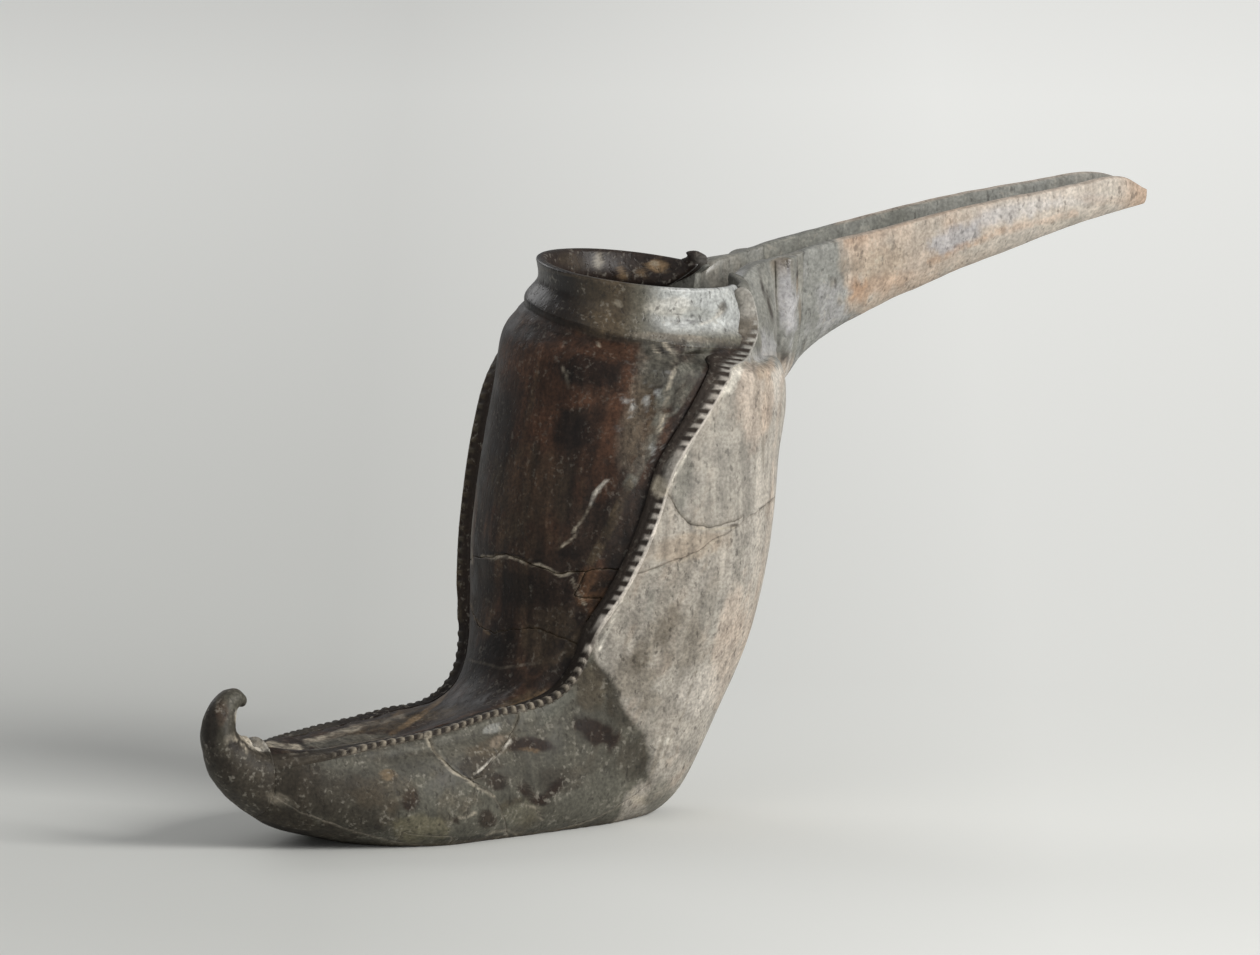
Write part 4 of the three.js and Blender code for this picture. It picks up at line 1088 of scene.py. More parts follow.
INSIDE_OVALS = [
    (CRUST, 0.6, 598, 262, 5, 9, 0), (OCHRE, 0.8, 658, 265, 9, 6, 0), (CRUST, 0.5, 656, 263, 4, 3, 0),
    (BLACK_BROWN, 0.8, 690, 270, 20, 14, 0), (INK_AND_SHADE, 0.7, 676, 286, 40, 5, 0),
    (DUN, 0.4, 575, 262, 16, 8, 20),
]


def paint_inside(color, s):
    """The vessel's inside: dark, with painted shade that deepens further down, and crusted under the rim."""
    height = s.points[:, 2]
    # Darker below: painted shade deep inside the vessel
    deep = mix(BLACK_BROWN, (SOOT_AND_SHADE + BLACK_BROWN) / 2, fade(height + s.big * 10, *DEEP_Z))
    deep = mix(deep, OCHRE, fade(s.mid + s.small * 0.6, 0.55, 0.9) * fade(height, *CRUSTED_Z) * 0.6)
    deep = ovals(deep, s, fade(s.points[:, 1], *INSIDE_Y), INSIDE_OVALS)
    return mix(color, deep, s.inside)


HEEL_LINE = [
    (560, 600), (588, 645), (600, 668), (618, 690), (626, 712), (648, 735), (656, 758), (648, 780),
    (626, 800), (600, 840),
]
FLANK_OVALS = [
    (BEIGE_GREY, 0.75, 684, 480, 10, 34, 8), (TEAL, 0.4, 682, 478, 8, 26, 8),
    (BEIGE_GREY, 0.5, 720, 470, 22, 60, 12), (SMOKE, 0.6, 655, 640, 12, 40, 38),
    (DUN, 0.3, 668, 622, 6, 30, 30), (SMOKE, 0.65, 632, 675, 22, 20, -40),
    (DUN, 0.25, 640, 655, 12, 10, -40), (SMOKE, 0.4, 700, 620, 8, 50, 22),
    (SMOKE, 0.4, 682, 642, 24, 26, 30), (SMOKE, 0.25, 650, 720, 14, 22, 0),
    (SMOKE, 0.35, 672, 590, 8, 40, 30), (BEIGE_GREY, 0.5, 712, 615, 12, 24, 0),
    # The pink ovals in this row and the pale oval at 776, 385 in the next lie along the leg's right edge: the
    # clay's pinkish tone with a painted highlight where the wall turns to the light
    (BEIGE_PINK, 0.6, 752, 400, 14, 46, 0), (BEIGE_PINK, 0.6, 728, 640, 12, 60, 12),
    (BEIGE_PALE, 0.5, 700, 690, 18, 26, 30), (BEIGE_PALE, 0.6, 776, 385, 5, 28, 4),
    (CHALK, 0.9, 732, 372, 9, 30, 24), (SHERD, 0.6, 688, 546, 36, 13, -10),
    (CHALK, 0.7, 665, 741, 6, 4, -10), (CRUST, 0.6, 640, 800, 12, 3, 10), (CRUST, 0.5, 632, 790, 3, 5, 0),
    (SLATE_PALE, 0.6, 660, 800, 14, 20, 0), (SHERD, 0.5, 560, 735, 20, 8, -10),
    (ASH, 0.95, 768, 354, 26, 12, 6), (LAVENDER, 0.5, 757, 352, 12, 8, 0), (SHERD, 0.7, 765, 372, 9, 10, 0),
    (ORANGE, 0.5, 768, 395, 6, 34, 4), (SMOKE, 0.5, 650, 700, 8, 12, 50),
]
FLANK_LINES = [
    (CHALK, 0.9, 2.0, [(741, 347), (717, 394), (684, 458), (665, 493), (638, 559), (600, 650)]),
    # The pink stroke along the leg's right edge is the clay's pinkish tone with a painted highlight
    (BEIGE_PINK, 0.5, 3, [(783, 375), (775, 440), (772, 500), (762, 570), (745, 640), (715, 710)]),
    (SMOKE, 0.5, 2, [(752, 352), (757, 395), (762, 430), (764, 470)]),
    (SMOKE, 0.8, 1.2, [(696, 672), (690, 690), (684, 712), (672, 735), (664, 758)]),
    (SMOKE, 0.4, 2, [(637, 628), (645, 632), (650, 622)]),
    (SMOKE, 0.6, 4, [(664, 738), (655, 765), (648, 785)]),
    (INK_AND_SHADE, 0.75, 1.8, [(690, 525), (681, 508), (672, 495)]),
    (CRUST, 0.7, 2, [(735, 526.5), (712, 529.5), (695, 527)]),
    (BLOTCH_AND_SHADE, 0.8, 2.5, [(731, 525.5), (737, 525)]),
    (CRUST, 0.5, 1.5, [(729, 532), (716, 541), (698, 554), (680, 562)]),
    (SMOKE, 0.6, 1.2, [(680, 563), (662, 566), (645, 570)]),
    (INK_AND_SHADE, 0.7, 1.6, [(773, 499), (766, 505), (760, 508)]),
]
FOOT_OVALS = [
    (SLATE_DARK, 0.75, 270, 770, 52, 50, 30), (SLATE_DARK, 0.6, 340, 800, 60, 26, 20),
    (SLATE_DARK, 0.8, 300, 826, 60, 9, 12), (SLATE_PALE, 0.3, 455, 760, 30, 14, 0),
    (SLATE_PALE, 0.5, 600, 795, 44, 22, 0), (SLATE_PALE, 0.6, 545, 700, 34, 10, -30),
    (TEAL, 0.4, 560, 705, 26, 7, -36), (DUN, 0.5, 496, 745, 20, 9, -20), (SHERD, 0.4, 497, 741, 7, 5, -20),
    (ASH, 0.7, 492, 728, 8, 4, -20), (DUN, 0.6, 478, 755, 14, 9, 0), (DUN, 0.5, 590, 690, 16, 26, -30),
    (BLOTCH_AND_SHADE, 1, 531, 745, 24, 7, 4), (BLOTCH_AND_SHADE, 1, 597, 733, 22, 13, 25), (OCHRE, 0.3, 530, 750, 10, 2, 4),
    (BLOTCH_AND_SHADE, 0.95, 410, 800, 9, 12, 30), (SLATE_DARK, 0.9, 478, 768, 20, 14, 20),
    (SLATE_DARK, 0.6, 560, 780, 20, 12, 0), (BLOTCH_AND_SHADE, 0.85, 498, 782, 9, 10, 10),
    (BLOTCH_AND_SHADE, 0.8, 488, 820, 9, 9, 0), (BLOTCH_AND_SHADE, 0.6, 510, 803, 12, 4, -25), (BLOTCH_AND_SHADE, 0.8, 458, 821, 4, 4, 0),
    (OLIVE, 0.55, 420, 828, 24, 13, 0), (OLIVE, 0.2, 520, 812, 20, 14, 0),
    (SLATE_DARK, 0.7, 603, 668, 10, 14, -20), (SLATE_DARK, 0.5, 620, 705, 12, 22, -20),
    (SLATE_DARK, 0.4, 632, 760, 14, 20, 0), (DUN, 0.4, 385, 790, 30, 18, 0),
    (OCHRE, 0.3, 388, 774, 10, 5, 0), (SLATE_PALE, 0.35, 350, 765, 30, 6, 0),
    # The two ink ovals in this row are painted shadow along the foot's bottom edge, where it meets the floor
    (CRUST, 0.25, 280, 800, 14, 6, 20), (INK_AND_SHADE, 0.7, 300, 835, 40, 5, 16), (INK_AND_SHADE, 0.5, 500, 838, 60, 3, -2),
]
FOOT_LINES = [
    (BLOTCH_AND_SHADE, 1, 10, [(523.5, 787), (531.6, 798), (543, 801), (551, 792), (559, 782)]),
    (BLOTCH_AND_SHADE, 1, 7, [(523.5, 787), (531.6, 798), (543, 801), (551, 792), (559, 782)]),
    (CRUST, 0.7, 2, [(425.5, 736), (430, 747), (439, 756), (446, 765), (453, 772.5), (465, 777.5)]),
    (INK_AND_SHADE, 0.7, 1.5, [(452, 763), (460, 770), (471, 780), (487, 790)]),
    (CRUST, 0.6, 2, [(465, 777.5), (479, 788), (494, 797)]),
    (CHALK, 0.75, 1.6, [(510, 741), (498, 754), (487, 764), (478, 772)]),
    (INK_AND_SHADE, 0.5, 1.6, [(486, 768), (475, 776)]), (CRUST, 0.5, 2, [(461, 818), (468, 817), (476, 813)]),
    (INK_AND_SHADE, 0.6, 1.6, [(540, 813), (543, 820), (544, 826)]),
    (CRUST, 0.4, 1.8, [(487, 836), (495, 832), (508, 831), (517, 835)]),
    (CRUST, 0.4, 1.5, [(524, 804), (538, 808), (541, 820)]),
    (SLATE_PALE, 0.5, 3, [(330, 760), (380, 753), (430, 748)]),
    (INK_AND_SHADE, 0.5, 2, [(322, 753), (345, 758), (380, 752)]),
    (SLATE_PALE, 0.5, 2.5, [(440, 741), (490, 722), (540, 698), (570, 676), (592, 656)]),
]


def paint_wall(s):
    """The boot's outside, beige above and slate below, painted on the side that faces the view."""
    slope = s.mu + 0.4 * s.mv
    brushed = noise(np.column_stack([slope * 0.33, s.points[:, 1], s.mv * 0.05]), SMALL, 77)
    color = mix(BEIGE, BEIGE_GREY, 0.45 + 0.5 * s.streak + 0.2 * s.mid)
    edge = beyond(s.mu, s.mv, LEG_EDGE_LINE)
    # Paler near the leg's right edge: a painted highlight where the wall turns to the light
    color = mix(color, BEIGE_PALE, fade(edge, *LEG_EDGE_U) * 0.25 * fade(s.mv, *LEG_PALE_V))
    color = mix(color, BEIGE_PINK, fade(brushed + s.big * 0.5, 0.1, 0.8) * 0.55)
    color = mix(color, SMOKE, fade(brushed - s.mid * 0.4, 0.15, 0.7) * 0.35)
    color = mix(color, SLATE_PALE, fade(s.small + s.mid * 0.5, 0.3, 0.9) * 0.35)
    color = mix(color, BEIGE_PALE, fade(-s.small + s.streak * 0.5, 0.35, 0.9) * 0.35)
    near = s.near * s.outer
    color = ovals(color, s, near, FLANK_OVALS)
    dark = fade(beyond(s.mu, s.mv, HEEL_LINE), *HEEL_SOFT_U)
    slate = mix(SLATE, SLATE_PALE, fade(s.mu, *FOOT_PALE_U) * 0.1 + 0.3 * s.mid + 0.2 * s.small)
    slate = mix(slate, DUN, fade(s.mid - s.small * 0.3, 0.1, 0.8) * 0.45)
    # Darker towards the toe: painted shade where the foot turns from the light
    gloom = fade(s.mu, *TOE_DARK_U) * 0.6 + 0.3 * fade(s.big, 0, 0.7) + 0.25 * fade(s.mu, *HEEL_DARK_U)
    slate = mix(slate, SLATE_DARK, np.clip(gloom, 0, 1))
    slate = ovals(slate, s, near, FOOT_OVALS)
    color = mix(color, slate, dark)
    color = lines(color, s, near, FLANK_LINES + FOOT_LINES)
    color = mix(color, SMOKE, s.detail * s.outer * 0.35 * fade(s.points[:, 0], *TOE_END_X))
    color = mix(color, DUN, fade(s.points[:, 2], *SOLE_Z) * 0.6)
    color = paint_inside(color, s)
    shoulder = fade(s.points[:, 0], *SHOULDER_X) * fade(s.points[:, 2], *SHOULDER_Z)
    color = mix(color, mix(SLATE_PALE, ASH, 0.5 + 0.5 * s.mid), shoulder)
    gloss = 0.42 + 0.16 * s.mid + 0.14 * s.streak + 0.12 * dark
    return color, np.clip(gloss * (1 - 0.6 * s.inside), 0, 1)


PANEL_OVALS = [
    (RED_BROWN, 0.7, 560, 350, 26, 14, 10), (RED_BROWN, 0.7, 612, 352, 30, 10, 8),
    (RED_BROWN, 0.8, 568, 395, 22, 12, 20), (RED_BROWN, 0.85, 545, 425, 18, 16, -40),
    (RED_BROWN, 0.8, 622, 410, 14, 46, 14), (RED_BROWN, 0.6, 605, 470, 12, 28, 10),
    (RED_BROWN, 0.5, 508, 372, 16, 26, 0), (SOOT_AND_SHADE, 0.75, 588, 372, 34, 16, 20),
    # The soot ovals at 530, 332 and 620, 335, ending this row and starting the next, are painted shadow under
    # the collar's overhanging foot; the other soot ovals are sooty clouds on the panel
    (SOOT_AND_SHADE, 0.7, 572, 432, 22, 18, 0), (SOOT_AND_SHADE, 0.6, 500, 430, 18, 60, 8), (SOOT_AND_SHADE, 0.6, 530, 332, 40, 8, 8),
    (SOOT_AND_SHADE, 0.7, 620, 335, 40, 5, 6), (DUN, 0.25, 530, 490, 40, 40, 0), (DUN, 0.3, 556, 640, 30, 30, 20),
    # The teal oval at the end of this row is painted sheen on the panel's raised border by the near seam
    (SOOT_AND_SHADE, 0.6, 520, 590, 40, 16, 0), (SOOT_AND_SHADE, 0.8, 571, 552, 11, 7, 0), (TEAL, 0.4, 655, 365, 18, 26, 14),
    (DUN, 0.5, 640, 420, 16, 40, 14), (DUN, 0.6, 520, 703, 34, 7, -24), (OCHRE, 0.25, 530, 700, 24, 4, -24),
    (SOOT_AND_SHADE, 0.8, 480, 690, 40, 16, -20), (SOOT_AND_SHADE, 0.8, 560, 672, 28, 10, -30),
    (DUN, 0.6, 400, 722, 60, 6, -12), (SLATE_PALE, 0.55, 345, 742, 40, 5, -8),
    (SOOT_AND_SHADE, 0.6, 452, 672, 12, 16, -40), (RED_BROWN, 0.5, 455, 690, 14, 9, -40),
    (DUN, 0.4, 440, 745, 50, 6, -10), (OCHRE, 0.3, 418, 703, 26, 5, -30),
    (RED_BROWN, 0.5, 600, 570, 14, 10, 0), (RUST, 0.8, 592, 594, 15, 26, -10),
    (SMOKE, 0.3, 632, 425, 13, 42, 14), (INK_AND_SHADE, 0.7, 478, 662, 40, 16, -35), (INK_AND_SHADE, 0.5, 430, 702, 30, 8, -25),
]
PANEL_MARKS = [
    # These three strokes are a painted sheen on the panel's raised border strip beside the near seam, fading
    # down the leg
    (TEAL, 0.6, 26, [(706, 335), (690, 368), (668, 404)]),
    (TEAL, 0.5, 12, [(668, 404), (652, 440), (630, 484)]),
    (DUN, 0.6, 9, [(630, 484), (610, 526), (592, 562)]),
    (CRUST, 0.3, 2, [(676, 352), (668, 392), (660, 430)]),
    # The soot stroke and the blotch stroke after it are painted shadow in the furrow along the near seam
    (SOOT_AND_SHADE, 0.9, 11, [(722, 352), (702, 386), (674, 438), (650, 486), (628, 532), (609, 570), (584, 610),
     (552, 652)]),
    (BLOTCH_AND_SHADE, 0.7, 5, [(716, 352), (696, 386), (668, 438), (644, 486), (622, 532), (603, 570)]),
    (CRUST, 0.75, 2.2, [(483, 556), (494, 558), (504, 556), (517, 558), (529, 565), (540, 564),
     (552, 570), (561, 575.5), (571, 572.5)]),
    (INK_AND_SHADE, 0.85, 1.6, [(481, 553), (497, 553), (508, 554), (520, 556), (530, 561), (541, 560)]),
    (CRUST, 0.65, 1.4, [(561.6, 547), (573, 537), (575, 529), (583, 518), (590, 506)]),
    (CHALK, 0.7, 3, [(592, 502), (596, 493), (601, 487), (606, 480)]),
    (DUN, 0.6, 1.3, [(560, 549), (559, 538)]), (CRUST, 0.55, 1.6, [(572, 579), (577, 592), (584, 604)]),
    (INK_AND_SHADE, 0.6, 1.6, [(562, 550), (568, 566), (573, 578)]),
    (CRUST, 0.5, 1.5, [(562, 366), (566, 374), (570, 387)]), (CRUST, 0.5, 1.6, [(597, 342), (599, 346)]),
    (OCHRE, 0.5, 1.6, [(468, 599), (475, 618), (483, 628), (490, 634)]),
    (INK_AND_SHADE, 0.7, 1.6, [(466, 588), (472, 610), (482, 628)]),
    (SMOKE, 0.75, 4, [(473, 492), (471, 520), (470, 548), (472, 562)]),
    (DUN, 0.6, 3, [(478, 470), (484, 410), (494, 350), (503, 318)]),
    (SOOT_AND_SHADE, 0.7, 4, [(476, 590), (478, 540), (480, 480), (490, 400), (502, 330)]),
    (OCHRE, 0.45, 4, [(392, 734), (420, 716), (440, 700), (452, 682)]),
    (CRUST, 0.6, 2, [(671, 350), (674, 368), (668, 390)]),
    (CRUST, 0.5, 1.6, [(667, 394), (664, 418), (660, 432)]),
    (CRUST, 0.55, 5, [(306, 742), (330, 736), (358, 728)]),
    (CRUST, 0.8, 5, [(262, 743), (284, 746), (300, 748)]), (INK_AND_SHADE, 0.9, 4, [(300, 743), (305, 747)]),
    (SMOKE, 0.6, 4, [(352, 727), (380, 722), (404, 716)]),
    (DUN, 0.7, 2, [(330, 748), (380, 740), (440, 732), (480, 718)]),
    (SMOKE, 0.3, 2, [(470, 660), (500, 668), (540, 662)]),
]
COLLAR_OVALS = [
    (SMOKE, 0.7, 680, 338, 44, 4, 4), (DUN, 0.6, 612, 300, 12, 8, 0), (CRUST, 0.5, 618, 303, 4, 3, 40),
    # The chalk oval at the end of this row is a painted highlight in the collar's sheen
    (TEAL, 0.5, 690, 315, 30, 9, 0), (DUN, 0.7, 722, 310, 4, 8, 10), (CHALK, 0.35, 672, 306, 22, 9, 0),
]
COLLAR_LINES = [
    # The ink stroke at the collar's right end is painted shade in the crevice beside the welt, and the soot
    # stroke along the collar's foot is painted shadow under its overhang
    (INK_AND_SHADE, 0.7, 1.4, [(723.5, 293), (725, 301), (726, 315)]),
    (SOOT_AND_SHADE, 0.5, 3, [(545, 316), (580, 326), (612, 336), (650, 343)]),
    (CHALK, 0.5, 2, [(700, 324), (712, 320), (722, 312)]),
    (DUN, 0.6, 2, [(540, 268), (575, 277), (612, 286)]),
]
EYELET_LINES = [
    (CRUST, 0.7, 2.5, [(652, 346), (656, 352)]), (CRUST, 0.7, 2.5, [(664, 343), (668, 350)]),
]


def collar_grey(s):
    """The collar, brown further round and paling to a silvery painted sheen beside the near seam, where it
    faces the light.
    """
    grey = mix(SOOT_AND_SHADE, DUN, fade(s.u, *COLLAR_DUN_U) + 0.2 * s.mid)
    # Pale and then silvery to the right: a painted sheen where the collar faces the light
    grey = mix(grey, SLATE_PALE, fade(s.wu, *COLLAR_PALE_U) * 0.8)
    grey = mix(grey, HIGHLIGHT_AND_SPECK, fade(s.wu, *COLLAR_SHEEN_U) * 0.9 * fade(s.v, *COLLAR_SHEEN_V))
    grey = ovals(grey, s, s.outer, COLLAR_OVALS)
    pits = fade(noise(s.points, 1.7, 81, 2), 0.3, 0.55) * within(s.wu, s.wv, PIT_PATCH, 1.2, 0.5)
    grey = mix(grey, INK_AND_SHADE, pits * 0.7)
    return lines(grey, s, s.outer, COLLAR_LINES)


def paint_panel(s):
    """The front panel and the collar, brown and black below and grey above, with painted sheen on the collar
    and along the near border, and painted shadow beside the near seam and under the collar.
    """
    color = mix(BLACK_BROWN, RED_BROWN, fade(s.big + s.streak * 0.7, 0.0, 0.6) * 0.7)
    color = mix(color, SOOT_AND_SHADE, fade(s.mid + s.streak * 0.3, 0.1, 0.6) * 0.5)
    color = mix(color, DUN, fade(s.streak - s.small * 0.4, 0.2, 0.8) * 0.35)
    color = ovals(color, s, s.outer, PANEL_OVALS)
    color = lines(color, s, s.outer, PANEL_MARKS)
    speck = fade(s.small, 0.35, 0.7) * within(s.wu, s.wv, SPECK_PATCH, 1.2, 0.5)
    color = mix(color, HIGHLIGHT_AND_SPECK, speck * s.outer * 0.5)
    color = mix(color, DUN, s.detail * s.outer * 0.5)
    bend = np.clip(COLLAR_BEND_U - s.u, 0, COLLAR_BEND_END)
    foot = COLLAR_FOOT_V + (s.u - COLLAR_FOOT_U) * 0.06 - bend * 0.28
    collar = fade(s.points[:, 2], *COLLAR_Z) * fade(s.v + s.small - foot, *COLLAR_SOFT_V)
    color = mix(color, collar_grey(s), collar * s.outer)
    color = lines(color, s, s.outer, EYELET_LINES)
    color = mix(color, INK_AND_SHADE, within(s.u, s.v, EYELET, 5, 2.5) * s.outer)
    color = paint_inside(color, s)
    sheen = fade(s.points[:, 2], *SHIN_Z) * 0.12 + collar * 0.2
    return color, np.clip((0.5 + sheen + 0.2 * s.mid + 0.1 * s.streak) * (1 - 0.6 * s.inside), 0, 1)


SEAM_OVALS = [
    (CRUST, 0.8, 660, 487, 8, 11, 0), (BEIGE_GREY, 0.5, 672, 470, 8, 18, 20),
    (CRUST, 0.5, 428, 737, 4, 6, 0), (CRUST, 0.8, 288, 748, 18, 4, 8), (CHALK, 0.7, 272, 744, 8, 3, 10),
    (INK_AND_SHADE, 0.8, 303, 746, 4, 3, 0),
]


def paint_seam(crest, slope, hollow, foot):
    """A notched seam: pale along its arris and ridges, dark in the notches, and slate on the foot."""
    def paint(s):
        y, z = s.points[:, 1], s.points[:, 2]
        on_foot = fade(s.u + s.mid * 6, *SEAM_FOOT_U) * fade(z, *SEAM_FOOT_Z)
        color = mix(crest, slope, fade(s.mid + s.small, -0.2, 0.8) * 0.6)
        color = mix(color, foot, on_foot * 0.85)
        color = mix(color, ASH, fade(z, *SEAM_NECK_Z) * 0.7)
        high = fade(z, *SEAM_HIGH_Z)
        share = np.clip(s.detail, 0, 1) * (0.95 - 0.2 * high - 0.5 * fade(z, *SEAM_TOP_Z))
        color = mix(color, mix(mix(hollow, INK_AND_SHADE, on_foot * 0.7), DUN, high), share)
        color = mix(color, SLATE_DARK, fade(s.u, *SEAM_TOE_U) * 0.85)
        color = mix(color, BLACK_BROWN, fade(y, *FAR_Y) * fade(z, *KNOB_Z))
        color = ovals(color, s, s.near, SEAM_OVALS)
        return color, np.clip(0.4 + 0.2 * s.mid - 0.3 * s.detail, 0, 1)
    return paint


CURL_OVALS = [
    # The two soot ovals in this row are painted shade on the curl's left side, turned from the light
    (SOOT_AND_SHADE, 0.7, 210, 725, 8, 26, 0), (SOOT_AND_SHADE, 0.4, 222, 770, 12, 20, -40), (SLATE, 0.7, 236, 700, 16, 9, 0),
    (RED_BROWN, 0.35, 222, 712, 6, 14, 0), (CRUST, 0.8, 240, 722, 4, 8, -30),
    (CRUST, 0.9, 252, 738, 14, 7, 40), (CHALK, 0.8, 262, 745, 12, 5, 15),
    (CHALK, 0.6, 238, 716, 2.5, 5, -20), (SOOT_AND_SHADE, 0.6, 232, 742, 8, 6, 40),
]


def paint_curl(s):
    """The toe curl: slate with a pale crust in its crook, and painted shade down its left side."""
    color, gloss = paint_wall(s)
    color = ovals(color, s, s.near, CURL_OVALS)
    fleck = fade(s.small + s.mid * 0.5, 0.25, 0.7) * within(s.u, s.v, FLECK_PATCH, 1.2, 0.6)
    return mix(color, CRUST, fleck * s.near * 0.9), gloss


ROOT_OVALS = [
    # The first lavender oval, down the root's near side, is a painted highlight
    (LAVENDER, 0.8, 786, 300, 9, 32, -6), (SLATE, 0.3, 734, 266, 14, 6, -10), (DUN, 0.8, 765, 276, 8, 8, 0),
    (OCHRE, 0.35, 780, 262, 10, 4, -10), (BLOTCH_AND_SHADE, 0.7, 785, 356, 5, 7, -20),
    (SMOKE, 0.5, 740, 300, 8, 14, -20), (LAVENDER, 0.5, 760, 345, 16, 12, 0),
    (SLATE_DARK, 0.5, 720, 275, 5, 16, 0),
]
ROOT_LINES = [
    (BLOTCH_AND_SHADE, 0.85, 2, [(759, 272), (761, 285), (768, 300), (773, 317)]),
    (BLOTCH_AND_SHADE, 0.6, 2, [(768, 330), (775, 337), (782, 345)]),
    (BLOTCH_AND_SHADE, 0.9, 3, [(788, 261), (794, 266), (798, 276)]),
    (OCHRE, 0.5, 1.6, [(797, 285), (799, 305), (801, 325), (803, 340)]),
    (CRUST, 0.5, 2, [(743, 285), (747, 292), (750, 302)]),
    (SMOKE, 0.6, 2.5, [(737, 286), (744, 300), (746, 312)]),
]


def paint_root(s):
    """The root and its band: smooth grey clay, brown in the creases."""
    color = mix(ASH, SLATE_PALE, 0.4 + 0.5 * s.mid + 0.2 * s.small)
    color = mix(color, BEIGE, fade(s.big + s.small * 0.4, 0.0, 0.7) * 0.4)
    color = mix(color, BEIGE_PINK, fade(s.v + s.mid * 4, *ROOT_FOOT_V) * 0.6)
    color = ovals(color, s, s.near, ROOT_OVALS)
    color = lines(color, s, s.near, ROOT_LINES)
    return color, np.clip(0.62 + 0.2 * s.mid, 0, 1)


def paint_band(s):
    """The band's colours are the root's, under more gloss."""
    color, gloss = paint_root(s)
    return color, np.clip(gloss + 0.3, 0, 1)


SPOUT_OVALS = [
    (ORANGE_DEEP, 0.7, 858, 293, 12, 12, 0), (ORANGE_DEEP, 0.5, 885, 282, 26, 8, -16),
    (SHERD, 0.6, 880, 262, 28, 14, -16), (ORANGE, 0.5, 900, 285, 40, 10, -16),
    (BEIGE_PINK, 0.5, 930, 262, 30, 12, -16), (LAVENDER, 0.8, 955, 238, 26, 11, -18),
    (LAVENDER, 0.85, 1010, 214, 46, 8, -14), (LAVENDER, 0.5, 1080, 200, 30, 6, -6),
    (BEIGE, 0.6, 1000, 238, 40, 8, -18), (OLIVE, 0.35, 1060, 222, 24, 6, -12),
    (SLATE, 0.5, 845, 268, 10, 10, 0), (CRUST, 0.4, 880, 262, 4, 3, 0), (ORANGE, 0.5, 870, 250, 20, 5, -14),
    (ORANGE_DEEP, 0.4, 1100, 200, 24, 5, 4),
]
SPOUT_LINES = [
    (ORANGE_DEEP, 0.8, 6, [(930, 262), (962, 246), (1000, 233), (1040, 222), (1075, 214)]),
    (ORANGE_DEEP, 0.5, 2, [(842, 243), (880, 232), (930, 216), (980, 202)]),
    (SMOKE, 0.5, 3, [(835, 280), (845, 300), (850, 310)]),
]


def paint_spout(s):
    """The spout: grey at its root and along its inside, orange and beige outside with lavender smudges."""
    out = mix(BEIGE, ORANGE, 0.45 + 0.5 * s.mid + 0.3 * s.streak)
    out = mix(out, BEIGE_PALE, fade(s.small + s.big * 0.4, 0.2, 0.8) * 0.4)
    out = ovals(out, s, s.near, SPOUT_OVALS)
    out = lines(out, s, s.near, SPOUT_LINES)
    out = mix(out, BEIGE_PALE, fade(s.wu, *SPOUT_PALE_U) * 0.5)
    grey = mix(ASH, SLATE, fade(s.small + s.mid * 0.3, 0.1, 0.7) * 0.5)
    grey = mix(grey, LAVENDER, fade(s.mid - s.small * 0.3, 0.1, 0.7) * 0.5)
    from_root = s.wu + s.big * 6 - (s.wv - SPOUT_MIDDLE_V) * 0.25 + s.small * 14 + s.mid * 9
    color = mix(out, grey, fade(from_root, *SPOUT_GREY_U))
    inner = mix(TEAL, ASH, 0.5 + 0.5 * s.mid + 0.3 * fade(s.u, *SPOUT_INSIDE_U))
    inner = mix(inner, BEIGE_GREY, fade(s.big + s.streak * 0.5, 0.0, 0.7) * 0.6)
    color = mix(color, inner, fade(s.detail, 0.3, 0.9))
    lip = fade(np.abs(s.detail - 0.4), 0.4, 0.1)
    color = mix(color, BEIGE_PINK, lip * 0.5 * fade(s.wu, *SPOUT_LIP_U))
    color = mix(color, ORANGE_DEEP, fade(s.wu, *SPOUT_TIP_U) * 0.6)
    return color, np.clip(0.45 + 0.25 * s.mid, 0, 1)


PAINTERS = {"wall": paint_wall, "panel": paint_panel}


# The pieces: the boot's sherds and fills, and then what is swept along a line
surface_piece("sole", "wall", "sole_clay", is_sole, SOLE_WALL)
surface_piece("foot_wall_toe", "wall", "foot_clay", lambda r, c: is_toe(r, c) & ~is_edge_fill(r, c), WALL)
surface_piece("foot_wall_toe_right", "wall", "foot_clay", is_toe_right, WALL)
surface_piece("foot_wall_heel", "wall", "heel_clay", is_heel, WALL)
surface_piece("instep_sherd", "wall", "sherd_clay", is_instep, WALL)
surface_piece("sole_edge_fill", "wall", "repair_fill", is_edge_fill, WALL)
surface_piece("leg_wall", "wall", "leg_clay",
              lambda r, c: (r >= LEG_BREAK_ROW) & ~is_flank(r, c) & ~is_slot(r, c), WALL)
surface_piece("flank_sherd", "wall", "leg_clay", is_flank, WALL)
surface_piece("front_panel_foot", "panel", "panel_clay", lambda r, c: r < BEND_ROW, WALL)
surface_piece("front_panel_ankle", "panel", "panel_clay",
              lambda r, c: (r >= BEND_ROW) & (r < SHIN_ROW) & ~is_fill(r, c), WALL)
surface_piece("panel_fill", "panel", "rusty_fill", is_fill, WALL)
surface_piece("front_panel_upper", "panel", "panel_clay", lambda r, c: (r >= SHIN_ROW) & (r < NECK_ROW), WALL)
surface_piece("neck_collar", "panel", "collar_clay", lambda r, c: r >= NECK_ROW, WALL)


def swept_piece(name, slot, made, paint):
    """A piece from its points, faces and how dark or how far inside each point is."""
    points, faces, detail = made
    return make_mesh(name + "_clay", points, faces, slot, [name], paint, np.zeros(len(points)), detail)


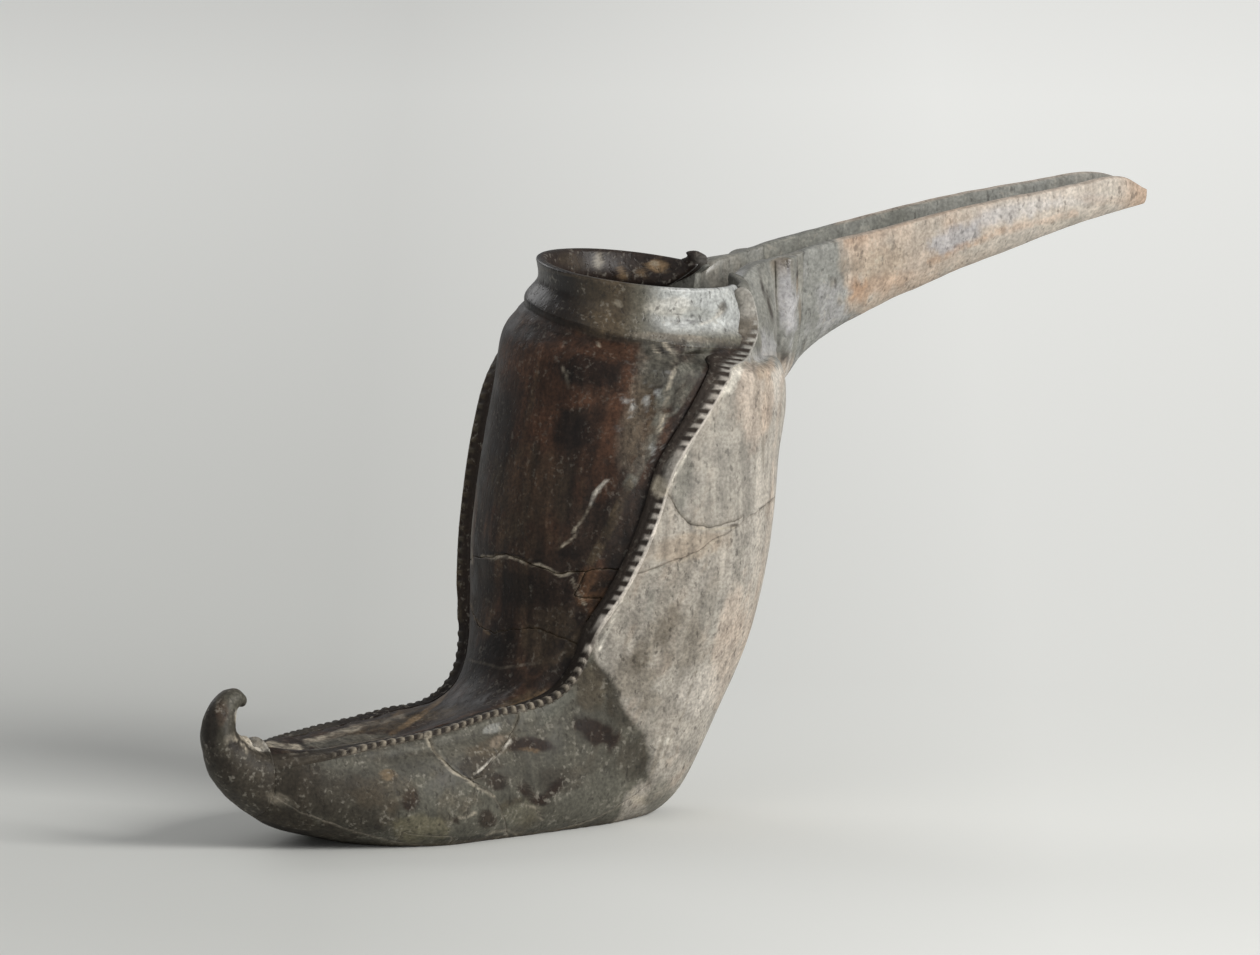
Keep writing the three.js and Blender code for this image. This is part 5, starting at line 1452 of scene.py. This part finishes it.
swept_piece("seam_left", "seam_clay", welt(1, 0), paint_seam(BEIGE_PALE, BEIGE, BLOTCH_AND_SHADE, tone(124, 114, 98)))
swept_piece("seam_right", "far_seam_clay", welt(-1, 2), paint_seam(DUN, SLATE, BLACK_BROWN, SLATE_DARK))
swept_piece("toe_curl", "curl_clay", toe_curl(), paint_curl)
swept_piece("spout_root", "root_clay", spout_root(), paint_root)
swept_piece("spout_band", "root_clay", spout_band(), paint_band)
swept_piece("spout_trough", "spout_clay", spout_run(ROOT_LENGTH, SPOUT_LENGTH - TIP_LENGTH, 0.6), paint_spout)
swept_piece("spout_tip", "tip_clay", spout_run(SPOUT_LENGTH - TIP_LENGTH, SPOUT_LENGTH, 0.4), paint_spout)


# The pale floor, which fills the picture behind the boot, and its glow in the camera's view: how strong it
# gets further away and to the right, and over which distances in metres
PAPER, PAPER_ROUGHNESS, FLOOR_HALF, GLOW_COLOR = (214, 215, 211), 0.9, 30.0, (1, 1, 0.98, 1)
FAR_GLOW, FAR_START, FAR_END, SIDE_GLOW, SIDE_HALF = 0.25, 0.3, 2.2, 0.2, 0.12


def floor_paper():
    """Pale paper that the camera sees brighter further away, as a backdrop that curves up does."""
    made = Nodes("floor_paper")
    place = made.add("TexCoord", {}, "Object")
    camera_ray = made.add("LightPath", {}, "Is Camera Ray")
    rays = camera_ray.node.outputs
    away = made.add("VectorMath", {0: place}, "Value", operation="LENGTH")
    aside = made.add("VectorMath", {0: place, 1: RIGHT.tolist()}, "Value", operation="DOT_PRODUCT")
    far = made.remap(away, 0, FAR_GLOW, FAR_START, FAR_END)
    side = made.remap(aside, 0, SIDE_GLOW, -SIDE_HALF, SIDE_HALF)
    seen = made.combine("MAXIMUM", camera_ray, rays["Is Glossy Ray"])
    seen = made.combine("MAXIMUM", seen, rays["Is Transmission Ray"])
    glow = made.combine("MULTIPLY", made.combine("ADD", far, side), seen)
    made.finish(Base_Color=(*tone(*PAPER), 1), Roughness=PAPER_ROUGHNESS, Emission_Color=GLOW_COLOR,
                Emission_Strength=glow)
    return made.material


floor_mesh = bpy.data.meshes.new("floor")
corners = [(x * FLOOR_HALF, y * FLOOR_HALF, 0) for x, y in ((-1, -1), (1, -1), (1, 1), (-1, 1))]
floor_mesh.from_pydata(corners, [], [(0, 1, 2, 3)])
floor = bpy.data.objects.new("floor", floor_mesh)
bpy.context.scene.collection.objects.link(floor)
floor_mesh.materials.append(floor_paper())

# The light: a grey sky, and lamps with their power in watts, size, place in metres and colour. A place is to
# the right of the boot as the camera sees it, ahead of the camera and up
SKY_GREY, SKY_STRENGTH, LAMP_AIM = 0.82, 0.34, (0, 0, 0.09)
LAMPS = {
    "key": (76, 1.3, (2.1, -1.6, 1.5), (1.0, 0.99, 0.97)),
    "back": (14, 1.6, (-1.5, 1.9, 1.5), (1.0, 1.0, 1.0)),
    "fill": (8, 2.4, (-1.6, -2.0, 1.6), (0.97, 0.98, 1.0)),
}

world = bpy.context.scene.world or bpy.data.worlds.new("studio")
bpy.context.scene.world = world
world.use_nodes = True
sky = next(node for node in world.node_tree.nodes if node.type == "BACKGROUND")
sky.inputs["Color"].default_value = (SKY_GREY, SKY_GREY, SKY_GREY, 1)
sky.inputs["Strength"].default_value = SKY_STRENGTH


def lamp(name, power, size, place, color):
    """A square lamp at a place seen from the camera, turned to the boot."""
    data = bpy.data.lights.new(name, "AREA")
    data.energy, data.size, data.color = power, size, color
    light = bpy.data.objects.new(name, data)
    bpy.context.scene.collection.objects.link(light)
    right, ahead = Vector(RIGHT.tolist()), Vector((math.sin(YAW), math.cos(YAW), 0))
    light.location = right * place[0] + ahead * place[1] + Vector((0, 0, place[2]))
    light.rotation_euler = (Vector(LAMP_AIM) - light.location).to_track_quat("-Z", "Y").to_euler()


for name, (power, size, place, color) in LAMPS.items():
    lamp(name, power, size, place, color)

SENSOR_MM, VIEW_END = 36, 100
camera_data = bpy.data.cameras.new("view")
camera_data.sensor_width = SENSOR_MM
camera_data.lens = SENSOR_MM * (RANGE_MM / MM_PER_PX) / PICTURE_WIDTH
camera_data.clip_end = VIEW_END
camera = bpy.data.objects.new("view", camera_data)
bpy.context.scene.collection.objects.link(camera)
camera.location = Vector(((EYE + SHIFT) * MM).tolist())
camera.rotation_euler = Vector(AHEAD.tolist()).to_track_quat("-Z", "Y").to_euler()
bpy.context.scene.camera = camera
bpy.context.scene.view_settings.view_transform = "Standard"
